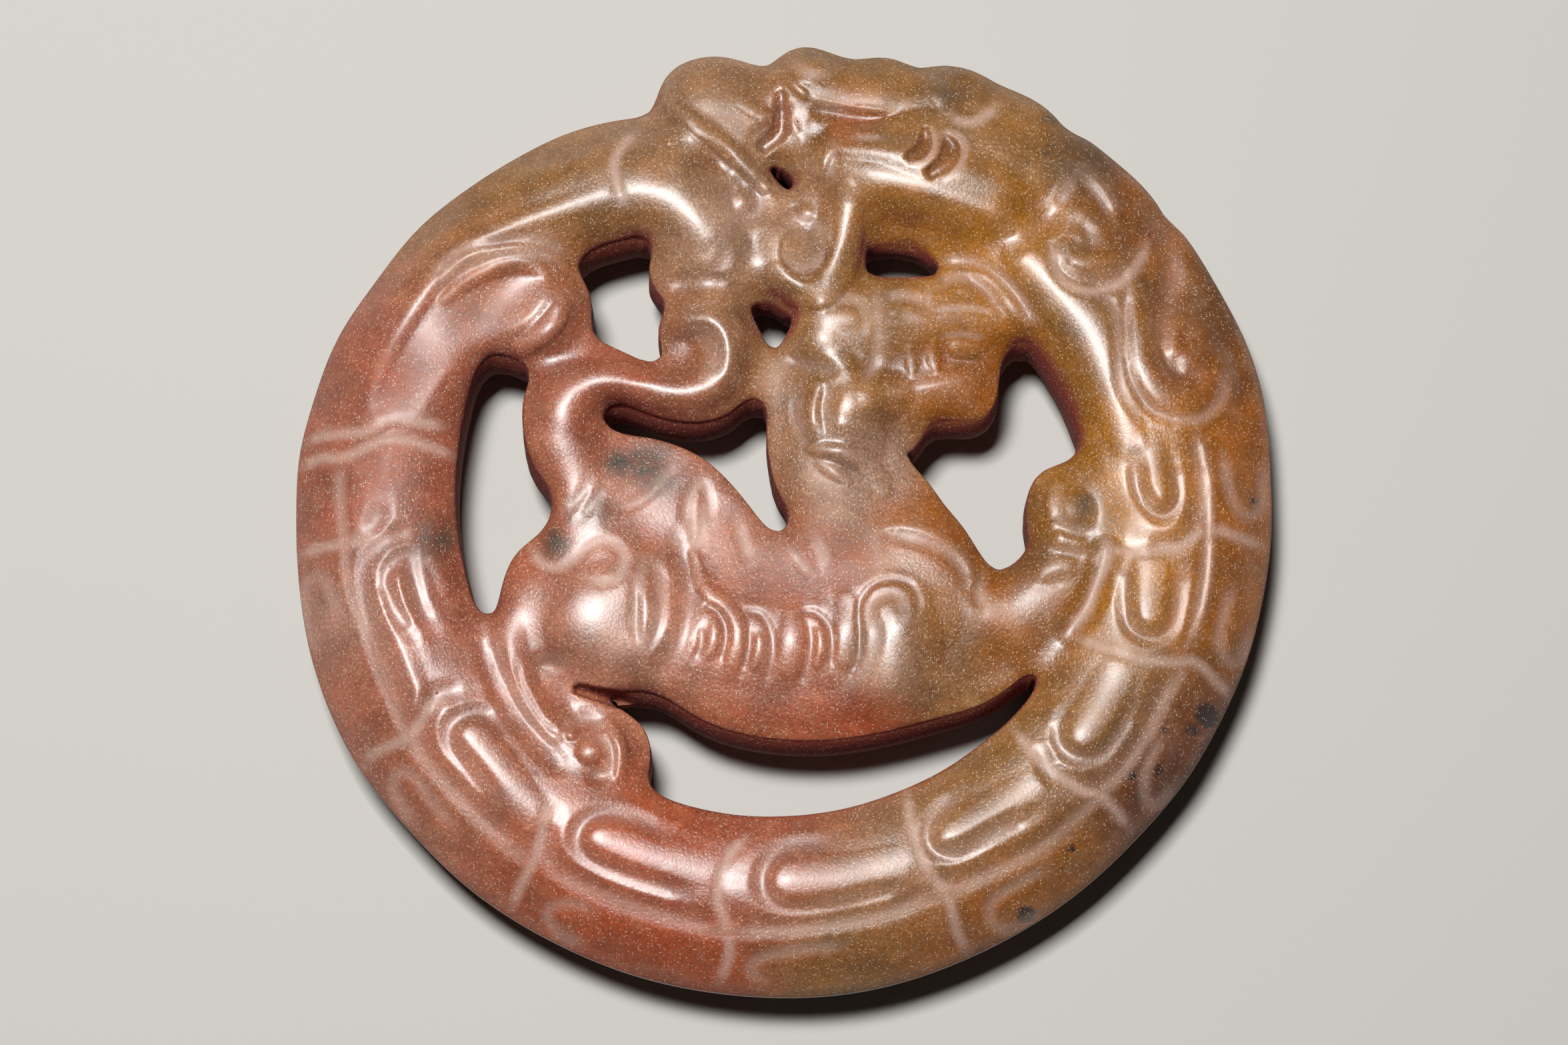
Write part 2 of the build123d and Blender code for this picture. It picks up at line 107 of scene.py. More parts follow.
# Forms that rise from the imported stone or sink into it: the section, then x, y, half width and rise along
# the spine
FORMS = {
    "big_head": [
        ("pillow", [(7, 87.2, 1.6, -6), (13, 86.4, 1.9, -7), (20, 86, 1.4, -4)]),
        ("pit", [(4.2, 57.4, 5.4, -7)]),
        ("pit", [(29.4, 82.6, 0.9, -8), (29.4, 80.4, 1.5, -14), (28.6, 78.4, 1.7, -14),
            (26.4, 77.2, 1.3, -12)]),
        ("pit", [(33.8, 80.8, 1.1, -8), (34.6, 78.4, 2.1, -14), (33.4, 75.6, 2.0, -14),
            (30.6, 73.9, 1.4, -12)]),
        ("mound", [(37.4, 92, 3.6, -12), (38.2, 88, 3, -8)]),
        ("mound", [(42.2, 91, 2.4, -4)]),
        ("pillow", [(-0.6, 91, 1.3, -8), (-0.6, 87, 1.5, -12), (-1, 83, 2.0, -16), (-4, 80, 2.0, -16)]),
        ("pillow", [(5.5, 97, 4.4, 10)]),
        ("pillow", [(1.6, 93.6, 1.2, 6), (4, 91, 1.2, 5)]),
        ("pillow", [(8.4, 77.6, 1.9, 6), (6.8, 74.4, 1.8, 7)]),
        ("mound", [(6, 84.6, 1.8, 4), (12, 83.2, 2.2, 7), (20, 83, 2.2, 7), (24, 83.6, 1.6, 3)]),
        ("pillow", [(12.6, 70, 2.8, 4), (13.6, 64, 3.2, 8), (13, 58, 3.4, 11), (11.4, 53, 3.6, 13),
            (8, 48.8, 3.6, 14), (3.6, 48, 3.4, 14), (0, 50, 3.2, 13), (-1.6, 52.6, 2.6, 6)]),
        ("mound", [(4.4, 65.4, 2.6, 9)]),
        ("mound", [(14, 74.4, 7, 10), (22, 73, 8.5, 20), (32, 70.6, 9, 22), (42, 68, 8.5, 16)]),
        ("mound", [(22, 63, 8, -16), (34, 60, 8, -16), (44, 59, 6, -10)]),
        ("mound", [(11, 80.6, 3.6, 20), (20, 80.8, 5, 28), (30, 80.5, 8, 34), (42, 78, 8.5, 30),
            (50, 74, 7, 16)]),
        ("pillow", [(29.6, 95, 1.6, 4), (32, 91.6, 2.6, 8), (33.2, 88, 1.4, 4)]),
    ],
    "mane": [
        ("pillow", [(49, 57, 4, 5), (54, 51.5, 5.4, 8), (59.6, 45.6, 6.6, 9), (64, 39.6, 6.8, 9),
            (66.6, 32, 6, 9), (69, 23, 5, 7), (71, 17, 4, 4)]),
        ("pillow", [(58.4, 57.4, 3, 6), (61.6, 54.6, 3.4, 9), (66.6, 54, 3.2, 7), (70, 56.6, 2.8, 4)]),
        ("pillow", [(73.2, 49, 2.2, 4), (73.6, 42, 3, 8), (74.6, 34, 3.8, 11), (78, 28, 4.2, 11),
            (83.4, 26.4, 4.2, 8), (88, 29, 3.6, 5)]),
        ("mound", [(84.5, 35, 3.8, 10)]),
        ("mound", [(80.5, 36.6, 2, 6), (80.6, 41, 2, 5)]),
        ("mound", [(62.5, 70.5, 4, -8), (65.5, 67, 4, -7)]),
        ("mound", [(76.5, 55, 5, -9), (76.5, 44, 4, -9)]),
        ("mound", [(56, 60, 5, -6), (72, 60, 6, -8), (81, 48, 5, -8)]),
    ],
    "tiger_head": [
        ("mound", [(4.6, 38, 4.4, 6), (8, 36.6, 5, 10), (11, 33.4, 4.6, 6)]),
        ("pillow", [(13.6, 43.6, 2.8, 2)]),
        ("mound", [(11.4, 31, 6, 8), (12.4, 26, 8, 14), (12.4, 20.6, 10, 24)]),
        ("mound", [(21, 27, 6, 14)]),
        ("mound", [(20.4, 44, 3.6, 5), (26, 43, 4, 6), (29, 40, 4, 5)]),
        ("pillow", [(22.6, 44.3, 1.6, 3)]),
        ("pillow", [(26, 36.8, 0.9, 3), (26.3, 34, 1.7, 5), (26.4, 31.2, 0.9, 3)]),
        ("pillow", [(30.8, 37.8, 0.9, 3), (30.8, 34.8, 1.7, 6), (31.4, 32, 0.9, 3)]),
        ("pillow", [(35.8, 36.3, 2, 7), (39, 36, 1.8, 6)]),
        ("mound", [(30, 42.6, 4, 4), (37, 43.6, 5, 6), (43, 42, 4, 4)]),
        ("pillow", [(37, 50, 2, 4)]),
        ("pillow", [(33.4, 51.2, 1.6, 3), (38, 53, 1.8, 4), (43, 50.8, 2, 5), (47, 45.8, 2, 6),
            (49.8, 41.8, 1.6, 3)]),
        ("mound", [(34, 28.6, 6, 4), (40, 29, 5, 4)]),
        ("mound", [(22, 21, 6, -8), (31, 24, 5, -10), (40, 26, 5, -10)]),
        ("pillow", [(6.4, 28.4, 1.8, 5), (5, 25, 2.6, 10), (5, 22, 2.6, 10), (6.4, 19, 2, 5)]),
    ],
    "tiger_neck": [
        ("pillow", [(5.6, 15.6, 1.1, 4), (11, 14.8, 1.9, 9), (16, 12.8, 2.2, 10), (19, 10, 2.2, 8),
            (20.8, 7, 1.4, 4)]),
        ("pillow", [(7.6, 12.2, 1, 4), (10.4, 10.6, 1.5, 8), (13, 8.8, 1.1, 4)]),
        ("mound", [(6, 18, 3, -5), (14, 17, 3, -6), (20, 14, 3, -4)]),
        ("mound", [(8, 2, 8, 6), (10, -4, 8, 4)]),
    ],
    "trunk": [
        ("mound", [(-30, 4, 9, -10), (-16, -3, 10, -18), (0, -9, 9, -18), (12, -6, 8, -10)]),
        ("mound", [(-18, -23, 9, 8), (-6, -25, 10, 12), (6, -25, 10, 12)]),
        ("mound", [(22.8, -17, 8, 12), (23.4, -25, 9.5, 20), (22, -34, 8.5, 20)]),
        ("mound", [(29, -20, 8, 12)]),
        ("mound", [(33, -24, 9, -6), (42, -27, 7, -10)]),
        ("pillow", [(-18.6, -6, 1.2, 3), (-16.5, -13, 1.8, 6), (-12, -17, 2, 7), (-9.4, -22, 2.1, 7),
            (-10.2, -28, 1.9, 5), (-11.6, -32, 1.2, 2)]),
        ("pillow", [(1.6, -19, 2.2, 4), (1.6, -24, 2.8, 7), (1, -30, 2.4, 4)]),
        ("pillow", [(12.6, -16, 2.4, 4), (12.8, -22, 2.6, 6), (12.4, -28, 2.2, 4)]),
        ("pillow", [(-14.3, -20.4, 1, 3), (-14.3, -24, 1.4, 5), (-15.4, -27.4, 1, 3)]),
        ("pillow", [(-5, -23.6, 0.9, 3), (-5.1, -26.4, 1.4, 5), (-6, -29.6, 1, 3)]),
        ("pillow", [(7.2, -22.6, 0.9, 3), (7.5, -25.6, 1.3, 5), (6.8, -29.4, 0.9, 3)]),
    ],
    "haunch": [
        ("mound", [(-34.5, -22, 15, 24)]),
        ("mound", [(-36, -20, 9, -8)]),
        ("mound", [(-56.5, -20, 4, 4), (-56, -25, 3.8, 8), (-54, -31, 3.6, 11), (-50.8, -38, 3.4, 11),
            (-46.8, -43.4, 2.8, 7)]),
        ("pit", [(-47.4, -32.2, 4.6, -4), (-46, -37.6, 3.6, -3)]),
        ("pit", [(-41.8, -34.3, 1.3, -20), (-37, -35.6, 1.5, -30), (-32, -37, 1.8, -36)]),
        ("mound", [(-61, -27, 3, -8), (-57.4, -36, 3, -8), (-51.6, -44, 3, -8), (-46, -50, 3, -7)]),
        ("pillow", [(-29.4, -11, 1.6, 3), (-27.6, -18, 2.2, 5), (-28.6, -25, 1.6, 3)]),
    ],
    "hind_paw": [
        ("pillow", [(-43.3, -43.6, 1.4, 8)]),
        ("pillow", [(-39.6, -47, 3, 12)]),
        ("pillow", [(-35.6, -41.4, 1.4, 5), (-33.2, -46, 1.6, 8), (-33.2, -52, 1.4, 5)]),
        ("mound", [(-38, -52, 3, -8)]),
    ],
    "small_head": [
        ("mound", [(-27, 73, 8, 6), (-19, 67, 8, 10), (-13, 58, 6.5, 10)]),
        ("pillow", [(-23, 88, 2, 6), (-16.8, 83, 2, 8), (-10, 77.2, 2, 9), (-4, 71, 1.8, 8)]),
        ("pillow", [(-8.3, 68, 2.4, 6)]),
        ("mound", [(-14, 76, 4, -10), (-22, 79, 4, -8)]),
        ("pillow", [(-9, 89.4, 2, 5), (-4, 86, 2, 5)]),
    ],
    "leaf": [
        ("mound", [(-86, 26, 2.2, 3), (-82.4, 35.4, 2.6, 8), (-77.6, 44.2, 2.6, 9), (-72, 52, 2.6, 9),
            (-65, 58.6, 2.8, 9), (-56, 63.4, 3, 8), (-46, 66.4, 3.4, 6), (-38, 69, 4, 3)]),
        ("mound", [(-80, 26, 6, -8), (-76, 36, 8, -20), (-68, 45, 10, -22), (-58, 50, 9, -16)]),
        ("mound", [(-70.4, 47.6, 1.6, 4), (-66, 51, 1.9, 8), (-60, 53.8, 2, 9), (-54.6, 54.6, 2, 8),
            (-49.6, 53, 1.6, 4)]),
        ("mound", [(-70, 52, 2, 5), (-64, 56, 2.4, 8), (-56, 57, 2.4, 7), (-49, 55.6, 2, 4)]),
        ("pillow", [(-45.8, 45.6, 2.2, 7), (-48.4, 41.4, 2.8, 12), (-54, 36.6, 2.2, 8)]),
    ],
    "tail": [
        ("mound", [(-45, 24, 6, 8), (-41, 28.4, 5.4, 11), (-36, 29.8, 5, 13), (-28, 28, 4.6, 12),
            (-19, 27, 4.6, 12), (-13, 31, 4.6, 12), (-12, 38, 4.4, 12), (-15, 42.2, 3.6, 10),
            (-20, 42, 2.8, 6)]),
    ],
    "fore_paw": [
        ("mound", [(59.8, 2.6, 5, 11)]),
        ("pillow", [(54.8, 5.6, 1.4, 3), (54.8, 1.4, 1.4, 4)]),
        ("mound", [(56.6, -3.4, 2.4, 9), (60.2, -4.6, 2.2, 6)]),
        ("mound", [(53, -9.6, 3.4, 9), (57.6, -9.2, 3, 6)]),
        ("mound", [(66, -6, 4, -12), (63.6, -14, 4, -14), (58.6, -22, 4, -12)]),
    ],
    "ring_plates": [
        ("pillow", [(75.6, 17, 3, 2), (76.4, 11, 3.8, 5), (77.2, 6, 3.8, 8)]),
        ("pillow", [(75.2, -7, 3.6, 2), (74.8, -14, 4.6, 6), (74.6, -19, 4.4, 9)]),
        ("pillow", [(69, -29, 4, 2), (65, -37, 5, 6), (61.2, -43, 5, 9)]),
        ("pillow", [(50, -54.5, 4, 2), (42, -60.2, 5, 6), (34.4, -64, 4.8, 9)]),
        ("pillow", [(26, -69.4, 4.4, 2), (12, -73, 5.4, 6), (1.6, -73.4, 5.4, 9)]),
        ("pillow", [(-15, -71, 4, 2), (-27, -68, 5, 6), (-36.4, -65, 4.8, 9)]),
        ("pillow", [(-51, -60.5, 4.2, 3), (-57.4, -52.4, 5, 8), (-63.2, -44.6, 4.8, 9)]),
        ("mound", [(-73, -28, 3, 2), (-76.6, -19, 3.4, 6), (-78.8, -12, 3, 9)]),
        ("mound", [(-83, -16, 3, 5), (-79.4, -27, 4.6, 10), (-75.4, -37, 4.2, 11)]),
        ("mound", [(78, -44, 3, 4), (75, -53, 3, 6)]),
        ("mound", [(91, 10, 4, 4), (93, -12, 4, 4), (90, -26, 4, 4)]),
    ],
}

# Each stroke is a tool and the places along its line, x and y in table units, as seen from the camera
STROKES = {
    "ring_joints": [
        ("joint", [(-98, 16.5), (-95, 18), (-90, 18.5), (-86, 19), (-81, 21.5), (-75, 21), (-70, 20)]),
        ("joint", [(-99, 11.5), (-95, 13.5), (-91, 13.5), (-86, 15.5), (-81, 17.5), (-75, 16.5), (-68, 14)]),
        ("joint", [(-99, -7), (-96, -5.5), (-90, -4.5), (-86, -4), (-80, -3)]),
        ("joint", [(-85, -50), (-84, -48), (-80, -46), (-76, -44), (-72, -38), (-68, -36)]),
        ("joint", [(-48, -57), (-49, -63), (-50, -68), (-53, -74), (-55, -79)]),
        ("joint", [(-8, -65), (-12, -70), (-13.5, -76), (-12, -82), (-11, -88), (-13, -94)]),
        ("joint", [(25, -56), (26, -63), (29, -71), (33, -77), (35, -84), (37, -88)]),
        ("joint", [(47, -43), (52, -49), (60, -55), (65, -57), (70, -63)]),
        ("joint", [(60, -24), (66, -26), (72, -28), (80, -29), (84, -29), (91, -36)]),
        ("joint", [(66, -5), (70, -6), (80, -5.5), (84, -3), (88, -1.5), (93, -3), (98, -5)]),
    ],
    "ring_seams": [
        ("groove", [(-91, 12), (-91, 4), (-90, -3), (-89, -12), (-86, -20), (-83, -29), (-80, -36),
            (-76, -45), (-72, -50), (-67, -56), (-62, -61), (-57, -66), (-51, -70)]),
        ("groove", [(-46, -72.5), (-35, -77), (-20, -82), (-12, -84), (0, -83.5), (10, -82.5), (20, -80.5),
            (28, -77.5), (34, -76), (42, -72), (50, -68), (58, -62), (65, -55), (70, -50), (75, -42),
            (79, -34), (82, -29)]),
        ("groove", [(83, -25), (84.5, -18), (86, -10), (86.5, -3), (86.5, 2), (86, 10), (84.5, 18)]),
        ("arris", [(82, -27), (86, -18), (87.6, -10), (88, -2), (87.9, 2), (87.6, 9.5), (86, 18)]),
    ],
    "ring_plate_a": [
        ("gouge", [(72.5, 14), (73.2, 7), (77.6, 2), (80.8, 6), (79.8, 13)]),
        ("crease", [(84.2, 14), (84.6, 4), (82.6, -2.5), (78, -4.6), (73, -3.8)]),
        ("groove", [(90.2, 14.3), (91.8, 5.2), (94.9, 1.5), (98, 3.1), (98.6, 12)]),
    ],
    "ring_plate_b": [
        ("gouge", [(70, -8), (69.8, -16), (71, -21), (75, -23.3), (79, -21), (80.6, -15), (81, -9)]),
        ("groove", [(92, -13), (89.5, -20), (89, -25), (90.5, -28.5), (93, -28.5), (95.5, -22)]),
    ],
    "ring_plate_c": [
        ("gouge", [(57, -40), (56, -45), (59, -48), (64, -48), (68, -44), (71, -38)]),
        ("crease", [(52, -44), (54, -51), (60, -53.5), (66, -52), (72, -44), (76, -36), (79, -30)]),
        ("groove", [(77, -44), (73.5, -51), (73.5, -57), (76, -58), (80, -54)]),
    ],
    "ring_plate_d": [
        ("gouge", [(50, -60), (44, -62.5), (36, -67), (31, -67.5), (29, -65), (31, -60), (36, -56)]),
        ("crease", [(28, -72), (34, -73.5), (42, -71), (52, -66), (60, -61)]),
        ("groove", [(53, -71), (46, -75), (42, -78), (42, -82), (46, -83.5), (53, -80)]),
    ],
    "ring_plate_e": [
        ("gouge", [(10, -65.5), (0, -67), (-4, -71), (-4, -76), (1, -79), (8, -78.5), (24, -75)]),
        ("crease", [(29, -76), (20, -79.5), (12, -81), (5, -82), (-5, -82.5), (-10, -81)]),
        ("groove", [(12, -86.5), (3, -87.5), (-4, -89), (-7, -91.5), (-4, -94)]),
    ],
    "ring_plate_f": [
        ("gouge", [(-20, -76), (-31, -72.5), (-38, -69.5), (-42, -66), (-41, -62), (-37, -60), (-30, -61),
            (-24, -64)]),
        ("crease", [(-47, -60), (-48.5, -66), (-44, -72), (-34, -77), (-22, -80.5), (-13, -82)]),
        ("groove", [(-38, -79.5), (-44, -78), (-48, -80), (-46, -84), (-41, -86.5)]),
    ],
    "ring_plate_g": [
        ("gouge", [(-58, -41), (-63, -39), (-67.5, -41), (-68, -45), (-64, -50), (-59, -56)]),
        ("crease", [(-64, -34.5), (-71, -35.5), (-74, -42), (-72, -49), (-67, -54), (-60, -61), (-53, -66)]),
        ("groove", [(-67, -62.5), (-71, -58), (-75, -52.5), (-78, -51.5), (-79.5, -54), (-78, -58),
            (-75, -62)]),
    ],
    "ring_plate_h": [
        ("gouge", [(-72, -22), (-75, -17), (-76.5, -11), (-77.5, -6.5), (-80.5, -8), (-81.5, -12),
            (-79.5, -18), (-76, -23)]),
        ("ridge", [(-73, -5), (-70, -10), (-67.5, -16)]),
        ("crease", [(-75, -2), (-80, -2.5), (-85, -7), (-86.2, -12), (-84.4, -19), (-80.4, -29),
            (-76.4, -39)]),
        ("groove", [(-91, -20), (-93, -14), (-95, -11), (-98, -13), (-98, -19), (-96, -26)]),
    ],
    "ring_neck_plate": [
        ("crease", [(-83, 6), (-83.5, 1), (-86.5, -3.5)]),
    ],
    "leaf": [
        ("groove", [(-72.4, 49), (-68, 53.6), (-62, 56), (-55, 57), (-50, 56.4), (-46.6, 54.6)]),
        ("groove", [(-73, 51.6), (-68, 56.4), (-62, 59), (-55, 60), (-50, 59.4), (-45.4, 57)]),
        ("crease", [(-46.2, 46.8), (-49, 43.2), (-52.4, 39.8), (-57, 37.4)]),
    ],
    "tail": [
        ("gouge", [(-20.1, 39.6), (-17.9, 40.3), (-15.1, 39.2), (-14, 35.9), (-14.2, 32.7), (-15.6, 30.4)]),
    ],
    "rump": [
        ("groove", [(-35.2, 4.5), (-33.4, 3.6), (-30.3, 4.5), (-27.1, 6.8), (-24.9, 9.1), (-21.3, 12.3)]),
        ("groove", [(-44.8, 2.2), (-42, 5.4), (-40.2, 9.1)]),
        ("groove", [(-42, 1), (-39.5, 4), (-37, 8)]),
        ("groove", [(-20, -0.5), (-20, 4.5), (-18.2, 7.7), (-16, 7), (-15.5, -0.5)]),
        ("valley", [(-25.8, 11.4), (-28, 12.6), (-30.3, 13.6)]),
    ],
    "small_head": [
        ("roll", [(-22.7, 88.2), (-20, 85), (-16.8, 83), (-13.7, 80.4), (-10.6, 77.8), (-7.5, 75),
            (-5.2, 72.7), (-3.2, 70.2)]),
        ("gouge", [(-11.4, 70.2), (-11, 66.3), (-8.3, 64.7), (-5.6, 65.5), (-5.6, 69), (-8.3, 71.8)]),
        ("joint", [(-30.5, 82.6), (-33.2, 79.8), (-35.1, 76.6), (-35.1, 73.4), (-34, 68.5)]),
        ("gouge", [(-15.3, 57), (-13.7, 57.9), (-12.9, 56), (-13.9, 54), (-15.3, 52.8)]),
        ("crease", [(-25, 49.2), (-20, 50.4), (-13.8, 50.8), (-10.2, 49.6)]),
    ],
    "mouth_gap": [
        ("crease", [(0, 91.5), (-0.5, 88), (-1, 84)]),
        ("gouge", [(-1.7, 83), (-4.8, 82.2), (-5.9, 79.8), (-5.4, 77.8)]),
        ("gouge", [(1.1, 68.6), (2.2, 64.7)]),
    ],
    "big_head": [
        ("groove", [(2, 97.4), (4.8, 95.4), (7.9, 94.8), (10.6, 96.2)]),
        ("arris", [(1.5, 86), (2, 84), (3.2, 81.6)]),
        ("arris", [(5.4, 90.2), (8.3, 89.3), (11.4, 88.6), (15.3, 87.9), (19.2, 87.6), (21.9, 87.4)]),
        ("groove", [(6, 88.7), (10, 87.8), (14, 87.1)]),
        ("hairline", [(14.5, 81.3), (20.5, 81.2)]),
        ("gouge", [(4.8, 78.6), (5.6, 75), (7.9, 72.6)]),
        ("groove", [(10.6, 79.4), (10, 75), (9.5, 71.8)]),
        ("groove", [(0.1, 61.3), (1.8, 63.2), (4.2, 63.6), (7, 62.2), (8.6, 59.6)]),
        ("hairline", [(30.9, 82.8), (31.4, 80), (30.8, 77.8), (28.6, 75.8), (25.6, 75.8)]),
        ("hairline", [(32.4, 81.8), (34.6, 82.2), (37, 80.6), (37.6, 77.6), (35.4, 74), (31.6, 72)]),
        ("joint", [(34.6, 86.2), (36.4, 84.8), (39.4, 84.6), (42, 86), (44.4, 88.4)]),
    ],
    "mane": [
        ("arris", [(60.1, 76.2), (62.6, 74.7), (64.8, 72.9), (66.6, 70.6), (68.1, 68), (69.3, 65.4)]),
        ("groove", [(56.1, 66.5), (58.1, 69), (59.6, 72), (60.6, 73.3)]),
        ("groove", [(61.6, 73.1), (64.1, 71), (66.1, 68), (67.6, 64.9)]),
        ("crease", [(45.2, 57.3), (48.7, 59.3), (52.1, 62.3), (56.1, 64.1), (59.6, 64.9)]),
        ("gouge", [(57, 57.8), (57.5, 53.7), (60.5, 51.7), (64.5, 51.4), (69, 52.7), (72, 55.7)]),
        ("gouge", [(60.1, 63.6), (62.8, 62.3), (63.5, 59.6), (60.8, 58.9)]),
        ("ridge", [(57.1, 63.9), (60.6, 65.7), (63.6, 64.4), (65.4, 60.8)]),
        ("joint", [(55.5, 58.3), (56.1, 53.7), (58.6, 50.2), (63, 48.6), (68, 49.6), (71, 51.7), (74, 55.7),
            (74.8, 58.3)]),
        ("groove", [(64, 48.1), (67, 46.5), (68.5, 43.5), (69, 39.4), (69.2, 29.8), (71, 25.3),
            (73.9, 21.3)]),
        ("groove", [(71.5, 48.6), (70.6, 42.5), (70.6, 36.4), (71.4, 30.8), (73.3, 26.8), (76.9, 23.2),
            (81.8, 21.5), (86.8, 22.3), (90.3, 26.3), (91.2, 30.8)]),
        ("crease", [(74.7, 67.2), (76.6, 63.7), (79, 61), (80.2, 56.7), (80.2, 51.7), (79.4, 46.6),
            (78.7, 42.5), (77.9, 38.4), (78.4, 34.3), (80.9, 31.8), (84.4, 31.1)]),
        ("ridge", [(85.4, 38.4), (88.4, 36.9), (90.8, 33.8), (92, 29.8), (91.8, 26.8), (89.3, 23.7),
            (84.8, 21.3), (78.9, 21.3)]),
        ("ridge", [(72, 53.2), (74.6, 58.3)]),
    ],
    "tiger_head": [
        ("gouge", [(1.6, 37), (3.2, 34), (7, 32.8), (10, 31.4), (11.6, 29.6)]),
        ("gouge", [(11.4, 29.4), (9.4, 27), (8.6, 23.4), (8.6, 20), (9.6, 17.6)]),
        ("groove", [(2.9, 27.9), (2.7, 22.2), (4.6, 17.4)]),
        ("groove", [(9.6, 45.6), (13.4, 47), (16.8, 44.9), (16.6, 41.4)]),
        ("groove", [(19, 48.4), (19.4, 43), (19.3, 38), (18.2, 33), (16.6, 29.3)]),
        ("groove", [(20.4, 46.6), (23, 47.6), (27, 47.2), (29.6, 45.4)]),
        ("hairline", [(30, 48.8), (29.8, 44.4)]),
        ("groove", [(32, 49.4), (34.4, 51.4), (38.4, 51.2), (42, 48.6), (44.6, 44.6)]),
        ("groove", [(34, 54.8), (38.8, 55), (44, 52.6), (48.4, 47.6), (51.4, 42.4)]),
        ("hairline", [(33, 39.2), (37, 39.6), (41, 38.8)]),
        ("hairline", [(31.4, 44.4), (38, 45), (43.4, 44)]),
    ],
    "chest": [
        ("arris", [(20, -1.2), (24, -0.4), (29.1, -1.5), (33.1, -3.8), (36.2, -6.3), (38.2, -9.9),
            (38.7, -13.6)]),
        ("groove", [(22, -2.6), (28.1, -4), (33.1, -6), (36.2, -9), (37.2, -12.4)]),
        ("scribe", [(14, -31), (15.6, -27), (15.5, -22), (15.5, -17), (17.5, -13.5), (20, -12), (23, -11.8),
            (26, -13), (27.4, -16), (27.2, -19)]),
        ("groove", [(15, -33), (17.6, -29), (18.9, -25), (19, -22), (17.8, -19.5), (18, -17), (20, -15.2),
            (22.6, -15), (24, -17), (24.2, -20)]),
        ("groove", [(40.3, -11), (39.7, -14.6), (40.8, -18.2)]),
    ],
    "stripes": [
        ("scribe", [(-17, -17.5), (-14, -17.8), (-12, -20.8), (-11.9, -25), (-13.4, -29)]),
        ("scribe", [(-17, -21), (-17, -25), (-18.4, -28.4)]),
        ("scribe", [(-8.4, -18.4), (-5, -18.8), (-2.9, -22), (-2.3, -26.5), (-3.6, -33)]),
        ("scribe", [(-7.4, -21.6), (-7.2, -26), (-8.6, -31)]),
        ("scribe", [(3, -18.6), (6, -18.4), (9, -21), (9.9, -25), (9.3, -30)]),
        ("scribe", [(5, -20.6), (5.6, -24.6), (4.8, -29.4), (3, -33.6)]),
        ("joint", [(-19.5, 5), (-18.6, -3), (-18.1, -4.8), (-17.4, -3), (-16, 5)]),
        ("joint", [(-9.6, 0.9), (-8.4, -4), (-7, -8.4)]),
        ("joint", [(1.7, -5.8), (4.2, -8.9), (6.3, -11)]),
        ("joint", [(6, -2), (8.4, -6), (9.4, -10)]),
    ],
    "haunch": [
        ("joint", [(-51.2, -5.4), (-49.7, -8.4), (-46.3, -9.4), (-42.8, -7.4), (-39.4, -4.4), (-35.9, -3.9),
            (-33.5, -5.4), (-32.7, -8.4), (-34, -11.4), (-36.9, -12.4), (-40.4, -11.4)]),
        ("groove", [(-28.8, -7.9), (-29.8, -12.9), (-30.5, -17.9), (-30.3, -21.8), (-28.5, -25.3),
            (-26.4, -22), (-25.4, -16), (-25.8, -10), (-28, -7.6)]),
        ("crease", [(-21.7, -2.9), (-20.7, -7.4), (-19.3, -12.4), (-19.3, -16.3), (-20.2, -20.8),
            (-22.2, -25.8), (-25.2, -30.2), (-27.1, -33.7)]),
        ("scribe", [(-54.6, -29), (-53.4, -33.7), (-51.2, -38), (-48.6, -41.6), (-45.8, -44)]),
        ("groove", [(-58.6, -23.8), (-58.1, -28.8), (-55.6, -33.7), (-52.2, -39.6), (-48.7, -44),
            (-45.3, -47.5)]),
        ("gouge", [(-51.2, -31.8), (-50.2, -29.3), (-47.7, -28.4), (-44.3, -29.3), (-43, -31.7)]),
    ],
    "hind_paw": [
        ("groove", [(-38.9, -44), (-35.9, -45.5), (-34.9, -48.5), (-35.9, -51.4), (-37.9, -51.9),
            (-39.9, -50.9)]),
        ("groove", [(-43.8, -41.6), (-41.3, -40.6), (-38.4, -41.1), (-35.4, -42.8)]),
    ],
    "fore_paw": [
        ("groove", [(55.6, 7), (56.6, 0.6), (60, -1.4), (64, -1.6)]),
        ("groove", [(56.1, -4.9), (59.5, -6.1), (62.9, -7)]),
        ("groove", [(53.9, -12.5), (57.3, -11.3)]),
        ("joint", [(65, -2.8), (66.7, -5.3), (65.8, -9.1), (64.1, -12.1), (62.3, -17.6), (59.8, -20.6),
            (58.5, -23.1)]),
    ],
}

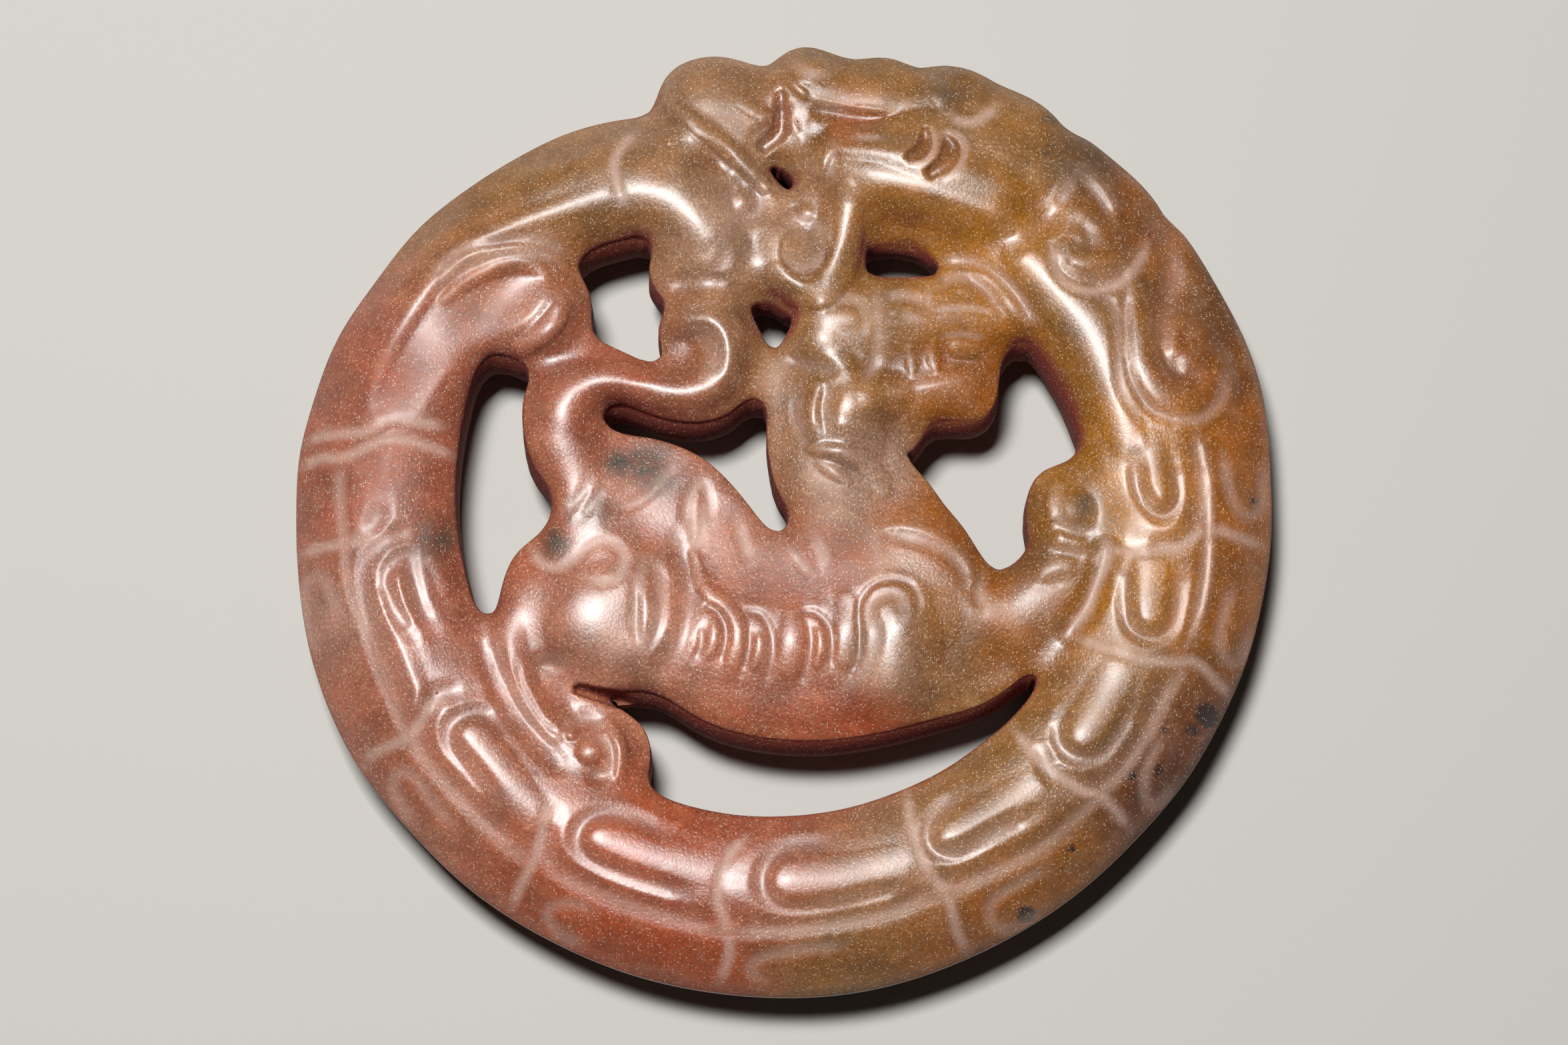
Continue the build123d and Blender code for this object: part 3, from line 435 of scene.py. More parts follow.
# The stone's colour changes softly from place to place: x, y and reach of each colour's clouds
CLOUDS = {
    "rose": [(-92, 5, 22), (-78, 30, 22), (-76, -30, 24), (-30, 26, 20), (0, -72, 14), (8, -14, 10)],
    "blush": [(-62, 46, 15), (-60, -50, 20), (-88, -26, 14), (-44, 6, 14), (-42, -20, 22), (-15, -12, 18),
        (-4, -28, 14), (-46, -42, 12)],
    "coral": [(-40, -72, 20), (-28, -90, 18), (-2, -44, 12), (-55, -5, 10), (0, 86, 4), (14, 86, 5),
        (20, -44, 8)],
    "tan": [(-70, 62, 12), (-48, 72, 16), (2, 88, 8), (12, 92, 9), (26, 86, 14), (46, 82, 14), (66, 48, 14),
        (68, -36, 16), (48, -64, 16), (14, -88, 14), (14, 36, 16), (27, 43, 7), (33, -25, 12), (58, -4, 12)],
    "sand": [(-26, 74, 16), (-12, 90, 12), (-12, 60, 14), (-10, 38, 14), (30, 72, 12), (5, 62, 10),
        (22, -72, 14), (12, 14, 12), (30, -33, 7), (20, -22, 9)],
    "honey": [(34, 62, 11), (46, 63, 9), (24, 66, 7), (76, 6, 11), (74, -14, 11), (38, 42, 6)],
    "amber": [(76, 62, 12), (84, 40, 10), (94, 6, 12), (92, -18, 12), (52, -78, 14), (34, -86, 12),
        (36, 32, 12), (26, -4, 10), (46, -18, 12)],
    # Painted shade: the umber clouds on the upper right's outer slope; the one on the forearm darkens it
    "umber_and_painted_shade": [(62, 76, 7), (74, 63, 6), (89, 46, 11), (50, -8, 5)],
    "rust": [(84, -44, 12), (74, -58, 12)],
    # Painted highlight: the milk clouds on the shoulder and the haunch; the other milk clouds make the stone
    # paler
    "milk_and_painted_highlight": [(-12, 62, 8), (15, 12, 8), (21, -28, 6), (-34, -22, 8), (-90, -20, 7)],
}

# Stains: x, y, reach and strength of each kind's spots
STAINS = {
    "smoke": [(-28, 12, 5.6, 1.0), (-34, 12.5, 3.4, 1.0), (-25, 8, 3.4, 0.9), (-40, 2, 5, 0.6),
        (-47, -4, 3.5, 0.9), (-72, -4, 5, 0.8), (-80, -5, 4, 0.5), (35, 91, 6, 0.5), (62, 4, 3, 0.7)],
    "iron": [(55, 85, 4, 0.5), (55, 79, 3, 0.42), (86, -40, 3.2, 0.9), (83, -43, 2.2, 0.7),
        (77, -43, 1.6, 0.6), (76, -51, 1.8, 0.7), (70.5, -52, 1.5, 0.7), (71.7, -57, 2.4, 0.5),
        (58, -67, 1.8, 0.7), (62.5, -70, 1.8, 0.6), (49, -80.5, 2.6, 0.8), (40, -88, 1.8, 0.6),
        (96.5, 4.5, 1.2, 0.7), (98, 4, 1.2, 0.6)],
}

# Where the polish has worn off and left the stone matt: x, y, reach and strength of each
DULL = [
    (-88, 12, 15, 1.0), (-84, 32, 13, 1.0), (-64, 46, 10, 0.9), (-62, 69, 10, 0.8), (-78, -4, 8, 0.7),
    (-47, -33, 5, 0.9), (-30, 10, 7, 0.9), (-12, 86, 8, 0.8), (4, 57, 5, 0.9), (13, 92, 9, 0.7),
    (38, 86, 10, 0.7), (52, 80, 10, 0.8), (62, 75, 8, 0.8), (88, 46, 10, 0.9), (28, 42, 9, 0.8),
    (39, 42, 9, 1.0), (34, 28, 7, 0.6), (70, 60, 7, 0.6), (-10, -5, 8, 0.5), (8, 4, 8, 1.0), (13, -5, 9, 1.0),
    (-2, -12, 8, 0.7), (-3, 30, 6, 0.9), (60, 3, 5, 0.8), (-52, -34, 6, 0.6), (56, -12, 6, 0.5),
    (64, 58, 5, 0.6), (76, 50, 7, 0.6), (69, 2, 5, 0.9), (70, -25, 5, 0.7), (76, -13, 6, 0.45),
    (64, -38, 6, 0.45), (76, 10, 5, 0.35), (-54, -28, 6, 0.4), (25, 70, 5, 0.15), (42, -60, 7, 0.3),
    (10, -72, 8, 0.2), (18, 46, 8, 1.0), (0, -4, 6, 0.8), (25, 33, 5, 0.4), (50, -8, 6, 0.6),
    (40, -22, 7, 0.6), (82, -56, 8, 0.9), (95, -25, 9, 0.6), (22, 93, 7, 0.7),
]

COLOURS = {
    "rose": "#80422C",
    "blush": "#8C543C",
    "coral": "#883A18",
    "tan": "#724914",
    "sand": "#7C5636",
    # Pale stone, and painted highlight on the shoulder and the haunch
    "milk_and_painted_highlight": "#9C8072",
    "honey": "#905A02",
    "amber": "#804404",
    "rust": "#501A06",
    # Painted shade on the upper right's outer slope, and a darker tone on the forearm
    "umber_and_painted_shade": "#3C240C",
    "smoke": "#34332A",
    "iron": "#1C0E0C",
}

GRIT = "#B4988A"
# Painted shade with a painted red glow of light through the stone, on the openings' walls
PAINTED_WALL_GLOW = "#6E2012"
# Painted shade: warm colour multiplied into the stone in its hollows
HOLLOW_SHADE = "#D08A5A"
DUST = "#B8967A"
# Pale crystal flecks, partly painted glints
FLECK_AND_GLINT = "#E8CDB4"
FLOOR = "#A6A39E"

# Smooth lines have this many straight runs between two points, and a stroke is this shallow at its ends
RUN_PARTS = 6
END_SHARE = 0.4

# The stone's skin is thinned to this many triangles
TRIANGLE_LIMIT = 190000

# Passes that spread a place's surroundings out to about 0.7 mm, and the height that counts as a full crest
CREST_PASSES = 14
CREST_HEIGHT = 0.00012

# The outline is read in this many slices round the middle, and the front falls by this share towards it
OUTLINE_SLICES = 360
SHOULDER_DROP = 0.3
SHOULDER_POWER = 1.5

# How far up the skin faces where it starts to count, and where it counts in full: as skin that is evened
# before it is carved, as an opening's wall, as front that shows marks, and as too steep to have been polished
EVENED_SKIN = (0.1, 0.5)
WALL_SKIN = (0.65, 0.35)
MARKED_SKIN = (0.0, 0.3)
STEEP_SKIN = (0.75, 0.45)

# Distance from the middle, in table units, where the rim ends and where the inside starts
INSIDE = (94, 90)

# An opening's upper wall swells most at this height over the widest place, and up to this far from there,
# both in shares of the thickness
WAIST_HEIGHT = -0.08
WAIST_REACH = 0.28

# Soft patches fall off by this power of the squared distance
PATCH_POWER = 1.5

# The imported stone's relief is taken down to this share first, so that the carved forms stay inside its box
BASE_SHARE = 0.88

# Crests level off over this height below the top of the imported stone, in metres
SOFT_TOP = 0.0001

# Keeps a sum that is divided by from being nothing
NOT_ZERO = 1e-6

# Sizes of the stone's patterns, in millimetres. Its felted grain and its crystals are really finer than a
# camera sees at this distance, so both are drawn just coarse enough to show
MOTTLE = 2.5
WISP = 1.1
GRAIN = 0.18
CRYSTAL = 0.12

# How far the grain seems to stand up, in metres
GRAIN_RELIEF = 0.00008

# Each effect: a pattern's value where it starts and where it is full, then the effect's amount at both
EFFECTS = {
    "mottled": (0.3, 0.7, 0.74, 1.26),
    "grained": (0.3, 0.7, 0.7, 1.3),
    # Painted shade: how strongly the hollows are darkened
    "hollow_shade": (0.0, -1.0, 0.0, 0.35),
    "worn": (0.0, 1.0, 0.0, 0.05),
    "bloom": (0.48, 0.72, 0.0, 0.13),
    "wispy": (0.4, 0.6, 0.55, 1.0),
    "rusted": (0.85, 1.1, 0.0, 0.9),
    "chosen": (0.76, 0.84, 0.0, 1.0),
    "middle": (0.45, 0.2, 0.0, 1.0),
    "rough": (0.3, 0.7, 0.34, 0.48),
}

# How much wisps fray the iron spots, how much of the stone full frost and a full fleck hide; the flecks are
# partly painted glints
FRAYING = 0.9
FROST_COVER = 0.75
GLINT_FLECK_COVER = 0.5

# How much rougher the stone is where it is frosted, a wall or worn
ROUGHER = {"frost": 0.3, "wall": 0.45, "dull": 0.22}

# Lamps: place in metres, width and power in watts
LAMPS = {
    "key_light": ((-0.06, 0.08, 0.42), 0.09, 3.1),
    "side_light": ((0.35, -0.2, 0.3), 0.3, 0.02),
}

# Faint warm light from all round
AIR_COLOUR = (1.0, 0.97, 0.94, 1)
AIR_STRENGTH = 0.016


class PendantSizes(PropertyGroup):
    """Sizes of the stone's fine skin and of its carving."""

    skin: FloatProperty(name="Skin", description="Spacing of the stone's fine skin", default=0.00016,
                        unit="LENGTH", precision=5)
    evening: IntProperty(name="Evening", description="Passes that even out the skin", default=24, min=0)
    settling: IntProperty(name="Settling", default=90, min=0,
                          description="Passes that even out the front's height before carving")
    carving: FloatProperty(name="Carving", description="Share of the full depth of carving", default=1.0,
                           subtype="FACTOR", min=0, max=2)
    shoulder: FloatProperty(name="Shoulder", description="How far in from the outline the front rounds off",
                            default=0.006, unit="LENGTH", precision=4)
    fade: FloatProperty(name="Fade", default=0.0012, unit="LENGTH", precision=4,
                        description="Height over the widest place where carving reaches full depth")
    waist: FloatProperty(name="Waist", description="How far an opening's upper wall swells half way down",
                         default=0.0006, unit="LENGTH", precision=5)


def colour_setting(name, description, hex_colour):
    """A colour that can be set in the sidebar."""
    return FloatVectorProperty(name=name, description=description, default=linear(hex_colour),
                               subtype="COLOR", min=0, max=1)


class PendantColours(PropertyGroup):
    """Colours of the jade and of the studio floor."""

    grit: colour_setting("Grit", "Frosted ground left in the carved lines", GRIT)
    # Painted shade with a painted red glow of light through the stone, on the openings' walls
    painted_wall_glow: colour_setting("Deep red", "Walls of the openings", PAINTED_WALL_GLOW)
    # Painted shade in the stone's hollows
    hollow_shade: colour_setting("Hollow", "What deepens the stone in its hollows", HOLLOW_SHADE)
    dust: colour_setting("Dust", "Pale bloom on the worn crests", DUST)
    # Pale crystal flecks, partly painted glints
    fleck_and_glint: colour_setting("Fleck", "Sugary grains in the stone", FLECK_AND_GLINT)
    floor: colour_setting("Floor", "Plain pale floor", FLOOR)


class PendantStudio(PropertyGroup):
    """Sizes of the studio round the pendant."""

    distance: FloatProperty(name="Distance", description="From the camera to the stone's middle",
                            default=0.3, unit="LENGTH")
    tilt: FloatProperty(name="Tilt", description="How far the camera leans back from straight above",
                        default=math.radians(10), subtype="ANGLE")
    lens: FloatProperty(name="Lens", description="Focal length on a 36 mm sensor", default=112.0,
                        unit="CAMERA")
    floor_width: FloatProperty(name="Floor width", description="Width of the floor", default=1.2,
                               unit="LENGTH")


def smooth_line(points):
    """Smooth curve through a stroke's points, as short straight runs."""
    knots = np.array(points, float)
    knots = np.vstack([2 * knots[0] - knots[1], knots, 2 * knots[-1] - knots[-2]])
    share = (np.arange(RUN_PARTS) / RUN_PARTS)[:, None]
    places = []
    for before, start, end, after in zip(knots, knots[1:], knots[2:], knots[3:]):
        bend = 2 * before - 5 * start + 4 * end - after
        twist = 3 * (start - end) + after - before
        places.append(start + (share * (end - before) + share ** 2 * bend + share ** 3 * twist) / 2)
    return np.vstack(places + [knots[-2:-1]])


def share_between(values, start, full):
    """0 where values have not reached the start, 1 where they are past full, even steps between."""
    return np.clip((values - start) / (full - start), 0, 1)


def around_line(places, line, reach):
    """The numbers of the places in a line's box, widened by its reach."""
    low, high = line.min(axis=0) - reach, line.max(axis=0) + reach
    return np.flatnonzero(((places > low) & (places < high)).all(axis=1))


def beside_run(places, start, end):
    """How far along a straight run each place lies, as a share of the run, and how far off it."""
    run = end - start
    offset = places - start
    share = np.clip(offset @ run / max(run @ run, NOT_ZERO), 0, 1)
    return share, np.hypot(*(offset - share[:, None] * run).T)


def near_line(places, line, reach):
    """The places near a line: their numbers, gap and length along it, and the line's own length."""
    chosen = around_line(places, line, reach)
    near = places[chosen]
    gap = np.full(len(near), np.inf)
    along = np.zeros(len(near))
    passed = 0.0
    for start, end in zip(line, line[1:]):
        share, this_gap = beside_run(near, start, end)
        length = math.hypot(*(end - start))
        closer = this_gap < gap
        gap[closer] = this_gap[closer]
        along[closer] = passed + share[closer] * length
        passed += length
    return chosen, gap, along, passed


def carving(places):
    """Rise of the carved front and the frost on it at these places, both from every stroke."""
    cut = np.zeros(len(places))
    raised = np.zeros(len(places))
    frost = np.zeros(len(places))
    for strokes in STROKES.values():
        for tool, points in strokes:
            line = smooth_line(points)
            rise, half_width, grit = TOOLS[tool]
            chosen, gap, along, length = near_line(places, line, half_width)
            taper = np.clip(np.minimum(along, length - along) / half_width, END_SHARE, 1)
            mark = np.clip(1 - (gap / half_width) ** 2, 0, 1) ** 2 * taper
            if rise < 0:
                cut[chosen] = np.minimum(cut[chosen], rise * mark)
            else:
                raised[chosen] = np.maximum(raised[chosen], rise * mark)
            frost[chosen] = np.maximum(frost[chosen], grit * mark)
    return (cut + raised + modelling(places)) * RISE_UNIT, frost


def form_rise(places, power, spine):
    """The numbers of the places near one form, and the rise that it gives there."""
    stations = smooth_line(spine) if len(spine) > 1 else np.array(spine, float)
    chosen = around_line(places, stations[:, :2], stations[:, 2].max())
    near = places[chosen]
    found = np.zeros(len(near))
    runs = list(zip(stations[:-1], stations[1:])) or [(stations[0], stations[0])]
    for start, end in runs:
        share, gap = beside_run(near, start[:2], end[:2])
        half_width, rise = start[2:, None] + share * (end - start)[2:, None]
        this_rise = rise * np.clip(1 - (gap / half_width) ** 2, 0, 1) ** power
        found = np.where(np.abs(this_rise) > np.abs(found), this_rise, found)
    return chosen, found


def modelling(places):
    """Rise that all the forms give at these places, in the tables' units of height."""
    rise = np.zeros(len(places))
    for forms in FORMS.values():
        for section, spine in forms:
            power, strength = SECTIONS[section]
            chosen, found = form_rise(places, power, spine)
            rise[chosen] += strength * found
    return rise


def eye_place(studio):
    """Where the camera stands."""
    back = Vector((0, -math.sin(studio.tilt), math.cos(studio.tilt)))
    return Vector((0, ORIGIN_Y, MID_HEIGHT)) + studio.distance * back


def drawn_places(points, studio):
    """Where the sight lines through the points meet the stone's middle plane, in table units."""
    eye = eye_place(studio)
    share = (eye.z - MID_HEIGHT) / (eye.z - points[:, 2])
    x = eye.x + (points[:, 0] - eye.x) * share
    y = eye.y + (points[:, 1] - eye.y) * share - ORIGIN_Y
    return np.column_stack([x / X_UNIT, y / Y_UNIT])


def read_vectors(rows, name):
    """One vector of each row, such as a vertex's place or normal."""
    vectors = np.zeros(3 * len(rows), np.float32)
    rows.foreach_get(name, vectors)
    return vectors.reshape(-1, 3).astype(float)


def places_and_normals(mesh):
    """Where a mesh's vertices are and which way they face."""
    return read_vectors(mesh.vertices, "co"), read_vectors(mesh.vertex_normals, "vector")


def move_vertices(mesh, places):
    """Puts a mesh's vertices at new places."""
    mesh.vertices.foreach_set("co", places.astype(np.float32).ravel())
    mesh.update()


def applied(piece):
    """Gives a piece the mesh that its modifiers make, and clears them."""
    bpy.context.view_layer.update()
    evaluated = piece.evaluated_get(bpy.context.evaluated_depsgraph_get())
    mesh = bpy.data.meshes.new_from_object(evaluated)
    piece.modifiers.clear()
    piece.data = mesh


def blank_stone(sizes):
    """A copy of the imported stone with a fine, even skin."""
    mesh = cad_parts[STONE_NODE].data.copy()
    mesh.materials.clear()
    bm = bmesh.new()
    bm.from_mesh(mesh)
    bmesh.ops.remove_doubles(bm, verts=bm.verts, dist=1e-6)
    bm.to_mesh(mesh)
    bm.free()
    stone = bpy.data.objects.new("jade_stone", mesh)
    bpy.context.scene.collection.objects.link(stone)
    skin = stone.modifiers.new("Fine skin", "REMESH")
    skin.mode = "VOXEL"
    coarser = 1
    skin.voxel_size = sizes.skin * coarser
    evening = stone.modifiers.new("Even skin", "SMOOTH")
    evening.iterations = sizes.evening
    evening.factor = 0.5
    applied(stone)
    return stone


def inner_share(places):
    """1 well inside the outline, 0 near it."""
    radius = np.hypot(places[:, 0], places[:, 1] - ORIGIN_Y) / X_UNIT
    return share_between(radius, *INSIDE)


def wall_share(places, normals):
    """1 on the upright walls of the openings, 0 on the front, the back and the rim."""
    return share_between(np.abs(normals[:, 2]), *WALL_SKIN) * inner_share(places)


def mesh_edges(mesh):
    """The vertex numbers at both ends of every edge, and how many neighbours each vertex has."""
    edges = np.zeros(2 * len(mesh.edges), np.int32)
    mesh.edges.foreach_get("vertices", edges)
    first, second = edges.reshape(-1, 2).T
    count = len(mesh.vertices)
    neighbours = np.bincount(first, minlength=count) + np.bincount(second, minlength=count)
    return first, second, np.maximum(neighbours, 1)


def evened(values, edges, passes, amount=1):
    """Values at the vertices, drawn towards their neighbours' mean in so many passes."""
    first, second, neighbours = edges
    count = len(neighbours)
    for _ in range(passes):
        total = np.bincount(first, values[second], count) + np.bincount(second, values[first], count)
        values = values + amount * (total / neighbours - values)
    return values


def edge_gaps(places):
    """How far each place lies inside the outline, measured towards the middle."""
    angle = np.arctan2(places[:, 1] - ORIGIN_Y, places[:, 0])
    radius = np.hypot(places[:, 0], places[:, 1] - ORIGIN_Y)
    slice_number = ((angle + math.pi) / (2 * math.pi) * OUTLINE_SLICES).astype(int) % OUTLINE_SLICES
    reach = np.zeros(OUTLINE_SLICES)
    np.maximum.at(reach, slice_number, radius)
    return reach[slice_number] - radius


def carve(stone, sizes, studio):
    """Carves the ornament into the front and swells the openings' upper walls."""
    places, normals = places_and_normals(stone.data)
    facing = share_between(normals[:, 2], *EVENED_SKIN) * (places[:, 2] > MID_HEIGHT)
    places[:, 2] = evened(places[:, 2], mesh_edges(stone.data), sizes.settling, facing)
    rise, _ = carving(drawn_places(places, studio))
    depth = (places[:, 2] - MID_HEIGHT) / box_size.z
    belly = np.clip(1 - ((depth - WAIST_HEIGHT) / WAIST_REACH) ** 2, 0, 1)
    lean = sizes.waist * belly * wall_share(places, normals) * np.clip(-normals[:, 1], 0, 1)
    places[:, :2] += normals[:, :2] * lean[:, None]
    nearness = np.clip(1 - edge_gaps(places) / sizes.shoulder, 0, 1)
    height = places[:, 2] - MID_HEIGHT
    lowered = BASE_SHARE - SHOULDER_DROP * nearness ** SHOULDER_POWER
    carved = height * lowered + sizes.carving * rise * np.clip(height / sizes.fade, 0, 1)
    places[:, 2] = MID_HEIGHT + np.where(height > 0, np.maximum(carved, 0), height)
    headroom = (box_high.z - places[:, 2]) / SOFT_TOP
    places[:, 2] = np.maximum(box_high.z - SOFT_TOP * np.logaddexp(0, headroom), box_low.z)
    move_vertices(stone.data, places)


def thinned(stone):
    """Drops the triangles that flat places don't need; the skin has two to a square."""
    count = 2 * len(stone.data.polygons)
    if count > TRIANGLE_LIMIT:
        thin = stone.modifiers.new("Thin skin", "DECIMATE")
        thin.ratio = TRIANGLE_LIMIT / count
        applied(stone)


def spread_from(places, x, y, reach):
    """Square of each place's distance from a spot, counted in the spot's reach."""
    return ((places[:, 0] - x) ** 2 + (places[:, 1] - y) ** 2) / reach ** 2


def cloud_colours(places):
    """The stone's colour at each place, blended from the clouds."""
    total = np.full(len(places), NOT_ZERO)
    mixed = np.zeros((len(places), 3))
    for name, clouds in CLOUDS.items():
        for cloud in clouds:
            weight = np.exp(-spread_from(places, *cloud))
            total += weight
            mixed += weight[:, None] * linear(COLOURS[name])
    return mixed / total[:, None]


def patch_amounts(places, patches):
    """How strongly soft round patches show at each place."""
    amount = np.zeros(len(places))
    for *patch, strength in patches:
        amount = np.maximum(amount, strength * np.exp(-spread_from(places, *patch) ** PATCH_POWER))
    return amount


def crest_amounts(mesh, places, normals):
    """How far each place stands above its surroundings, in metres: above 0 on crests, below 0 in hollows."""
    edges = mesh_edges(mesh)
    around = np.column_stack([evened(places[:, axis], edges, CREST_PASSES) for axis in range(3)])
    return ((places - around) * normals).sum(axis=1)


def write_attribute(mesh, name, values):
    """Keeps one number for each vertex under a name."""
    attribute = mesh.attributes.new(name, "FLOAT", "POINT")
    attribute.data.foreach_set("value", values.astype(np.float32))


def stain_stone(stone, studio):
    """Writes the stone's colours onto its skin, and where it is frosted, stained, worn or a wall."""
    mesh = stone.data
    places, normals = places_and_normals(mesh)
    drawn = drawn_places(places, studio)
    _, frost = carving(drawn)
    front = share_between(normals[:, 2], *MARKED_SKIN) * (places[:, 2] > MID_HEIGHT)
    clouds = np.column_stack([cloud_colours(drawn), np.ones(len(drawn))])
    colour = mesh.color_attributes.new("clouds", "FLOAT_COLOR", "POINT")
    colour.data.foreach_set("color", clouds.astype(np.float32).ravel())
    write_attribute(mesh, "frost", frost * front)
    for name, patches in STAINS.items():
        write_attribute(mesh, name, patch_amounts(drawn, patches) * front)
    steep = share_between(normals[:, 2], *STEEP_SKIN)
    write_attribute(mesh, "dull", np.maximum(patch_amounts(drawn, DULL), steep) * front)
    write_attribute(mesh, "wall", wall_share(places, normals))
    write_attribute(mesh, "crest", np.clip(crest_amounts(mesh, places, normals) / CREST_HEIGHT, -1, 1))


def add_node(tree, kind, settings=None, links=None):
    """Adds a node, sets its options and its inputs' values, and links its inputs."""
    node = tree.nodes.new(kind)
    for name, value in (settings or {}).items():
        if isinstance(name, int) or name in node.inputs:
            node.inputs[name].default_value = value
        else:
            setattr(node, name, value)
    for name, source in (links or {}).items():
        tree.links.new(source, node.inputs[name])
    return node


def feed(tree, socket, source):
    """Links an output to an input, or gives the input a fixed value."""
    if hasattr(source, "is_linked"):
        tree.links.new(source, socket)
    else:
        socket.default_value = source


def mix_colours(tree, blend, amount, first, second):
    """Mixes two colours, each an output or a fixed colour, on the node's colour inputs 6 and 7."""
    node = add_node(tree, "ShaderNodeMix", {"data_type": "RGBA", "blend_type": blend})
    for place, source in ((0, amount), (6, first), (7, second)):
        feed(tree, node.inputs[place], source)
    return node.outputs[2]


def worked_out(tree, operation, *sources):
    """One step of arithmetic on outputs and fixed numbers."""
    node = add_node(tree, "ShaderNodeMath", {"operation": operation})
    for place, source in enumerate(sources):
        feed(tree, node.inputs[place], source)
    return node.outputs[0]


def effect(tree, name, source):
    """Amount of an effect, from the pattern that steers it; inputs 1 to 4 are the two ranges."""
    ranges = dict(enumerate(EFFECTS[name], 1))
    return add_node(tree, "ShaderNodeMapRange", ranges, {0: source}).outputs[0]


def scale_of(size):
    """A pattern's scale on Object coordinates, from its size in millimetres."""
    return 1000 / size


def noise(tree, place, size, detail, roughness=0.5):
    """Cloudy pattern with features of this size."""
    settings = {"Scale": scale_of(size), "Detail": detail, "Roughness": roughness}
    return add_node(tree, "ShaderNodeTexNoise", settings, {"Vector": place}).outputs["Fac"]


def jade_material(colours):
    """Stained nephrite jade, polished to satin: cloudy, slightly translucent, with frosted carved lines."""
    material = bpy.data.materials.new("satin_polished_jade")
    material.use_nodes = True
    tree = material.node_tree
    tree.nodes.clear()
    place = add_node(tree, "ShaderNodeTexCoord").outputs["Object"]
    clouds = add_node(tree, "ShaderNodeAttribute", {"attribute_name": "clouds"}).outputs["Color"]
    on_skin = {name: add_node(tree, "ShaderNodeAttribute", {"attribute_name": name}).outputs["Fac"]
               for name in ("frost", "smoke", "iron", "dull", "wall", "crest")}

    # Large mottling and fine grain make the stone cloudy and keep it from looking like plastic
    mottle = noise(tree, place, MOTTLE, detail=4.0)
    grain = noise(tree, place, GRAIN, detail=3.0)
    uneven = worked_out(tree, "MULTIPLY", effect(tree, "mottled", mottle), effect(tree, "grained", grain))
    stone = mix_colours(tree, "MULTIPLY", 1.0, clouds, uneven)

    # Handling has left crests pale and dusty, and the hollows are darkened with a warm colour as painted shade
    hollow_shade, worn = (effect(tree, name, on_skin["crest"]) for name in ("hollow_shade", "worn"))
    stone = mix_colours(tree, "MULTIPLY", hollow_shade, stone, (*colours.hollow_shade, 1))
    stone = mix_colours(tree, "MIX", worn, stone, (*colours.dust, 1))

    # A powdery bloom and the smoke lie in streaks and wisps, and iron has left small ragged spots
    wisps = noise(tree, place, WISP, detail=5.0, roughness=0.65)
    stone = mix_colours(tree, "MIX", effect(tree, "bloom", wisps), stone, (*colours.dust, 1))
    smoked = worked_out(tree, "MULTIPLY", on_skin["smoke"], effect(tree, "wispy", wisps))
    stone = mix_colours(tree, "MIX", smoked, stone, (*linear(COLOURS["smoke"]), 1))
    ragged = worked_out(tree, "MULTIPLY_ADD", wisps, FRAYING, on_skin["iron"])
    stone = mix_colours(tree, "MIX", effect(tree, "rusted", ragged), stone, (*linear(COLOURS["iron"]), 1))

    # The openings' walls are painted deep red, painted shade with a painted glow of light coming through the
    # stone, and grit has left the carved lines frosted
    stone = mix_colours(tree, "MIX", on_skin["wall"], stone, (*colours.painted_wall_glow, 1))
    frosted = worked_out(tree, "MULTIPLY", on_skin["frost"], FROST_COVER)
    stone = mix_colours(tree, "MIX", frosted, stone, (*colours.grit, 1))

    # Pale sugary flecks, partly the crystals' own colour and partly painted glints, show where a crystal's
    # random shade is high, near the crystal's middle
    crystals = add_node(tree, "ShaderNodeTexVoronoi", {"Scale": scale_of(CRYSTAL)}, {"Vector": place})
    shade = add_node(tree, "ShaderNodeSeparateColor", {}, {0: crystals.outputs["Color"]}).outputs[0]
    fleck_and_glint = worked_out(tree, "MULTIPLY", effect(tree, "chosen", shade),
                       effect(tree, "middle", crystals.outputs["Distance"]))
    glint_flecked = worked_out(tree, "MULTIPLY", fleck_and_glint, GLINT_FLECK_COVER)
    stone = mix_colours(tree, "MIX", glint_flecked, stone, (*colours.fleck_and_glint, 1))

    # The polish is a thin wax-like coat, which frost, walls and worn places lack; they are rougher instead
    rough = effect(tree, "rough", grain)
    for name, extra in ROUGHER.items():
        rough = worked_out(tree, "MULTIPLY_ADD", on_skin[name], extra, rough)
    matt = worked_out(tree, "MAXIMUM", on_skin["wall"], on_skin["frost"])
    matt = worked_out(tree, "MAXIMUM", matt, on_skin["dull"])
    polished = worked_out(tree, "SUBTRACT", 1.0, matt)
    bump = add_node(tree, "ShaderNodeBump", {"Strength": 0.7, "Distance": GRAIN_RELIEF}, {"Height": grain})
    skin = add_node(tree, "ShaderNodeBsdfPrincipled", {
        "IOR": 1.61, "Specular IOR Level": 0.35, "Coat Roughness": 0.38,
        "Subsurface Weight": 0.3, "Subsurface Radius": (1.0, 0.35, 0.15), "Subsurface Scale": 0.0015,
    }, {"Base Color": stone, "Roughness": rough, "Normal": bump.outputs[0], "Coat Weight": polished})
    add_node(tree, "ShaderNodeOutputMaterial", {}, {"Surface": skin.outputs[0]})
    return material


def floor_material(colours):
    """Matt painted board: even, pale and without gloss."""
    material = bpy.data.materials.new("matt_painted_board")
    material.use_nodes = True
    skin = material.node_tree.nodes["Principled BSDF"]
    skin.inputs["Base Color"].default_value = (*colours.floor, 1)
    skin.inputs["Roughness"].default_value = 0.8
    return material


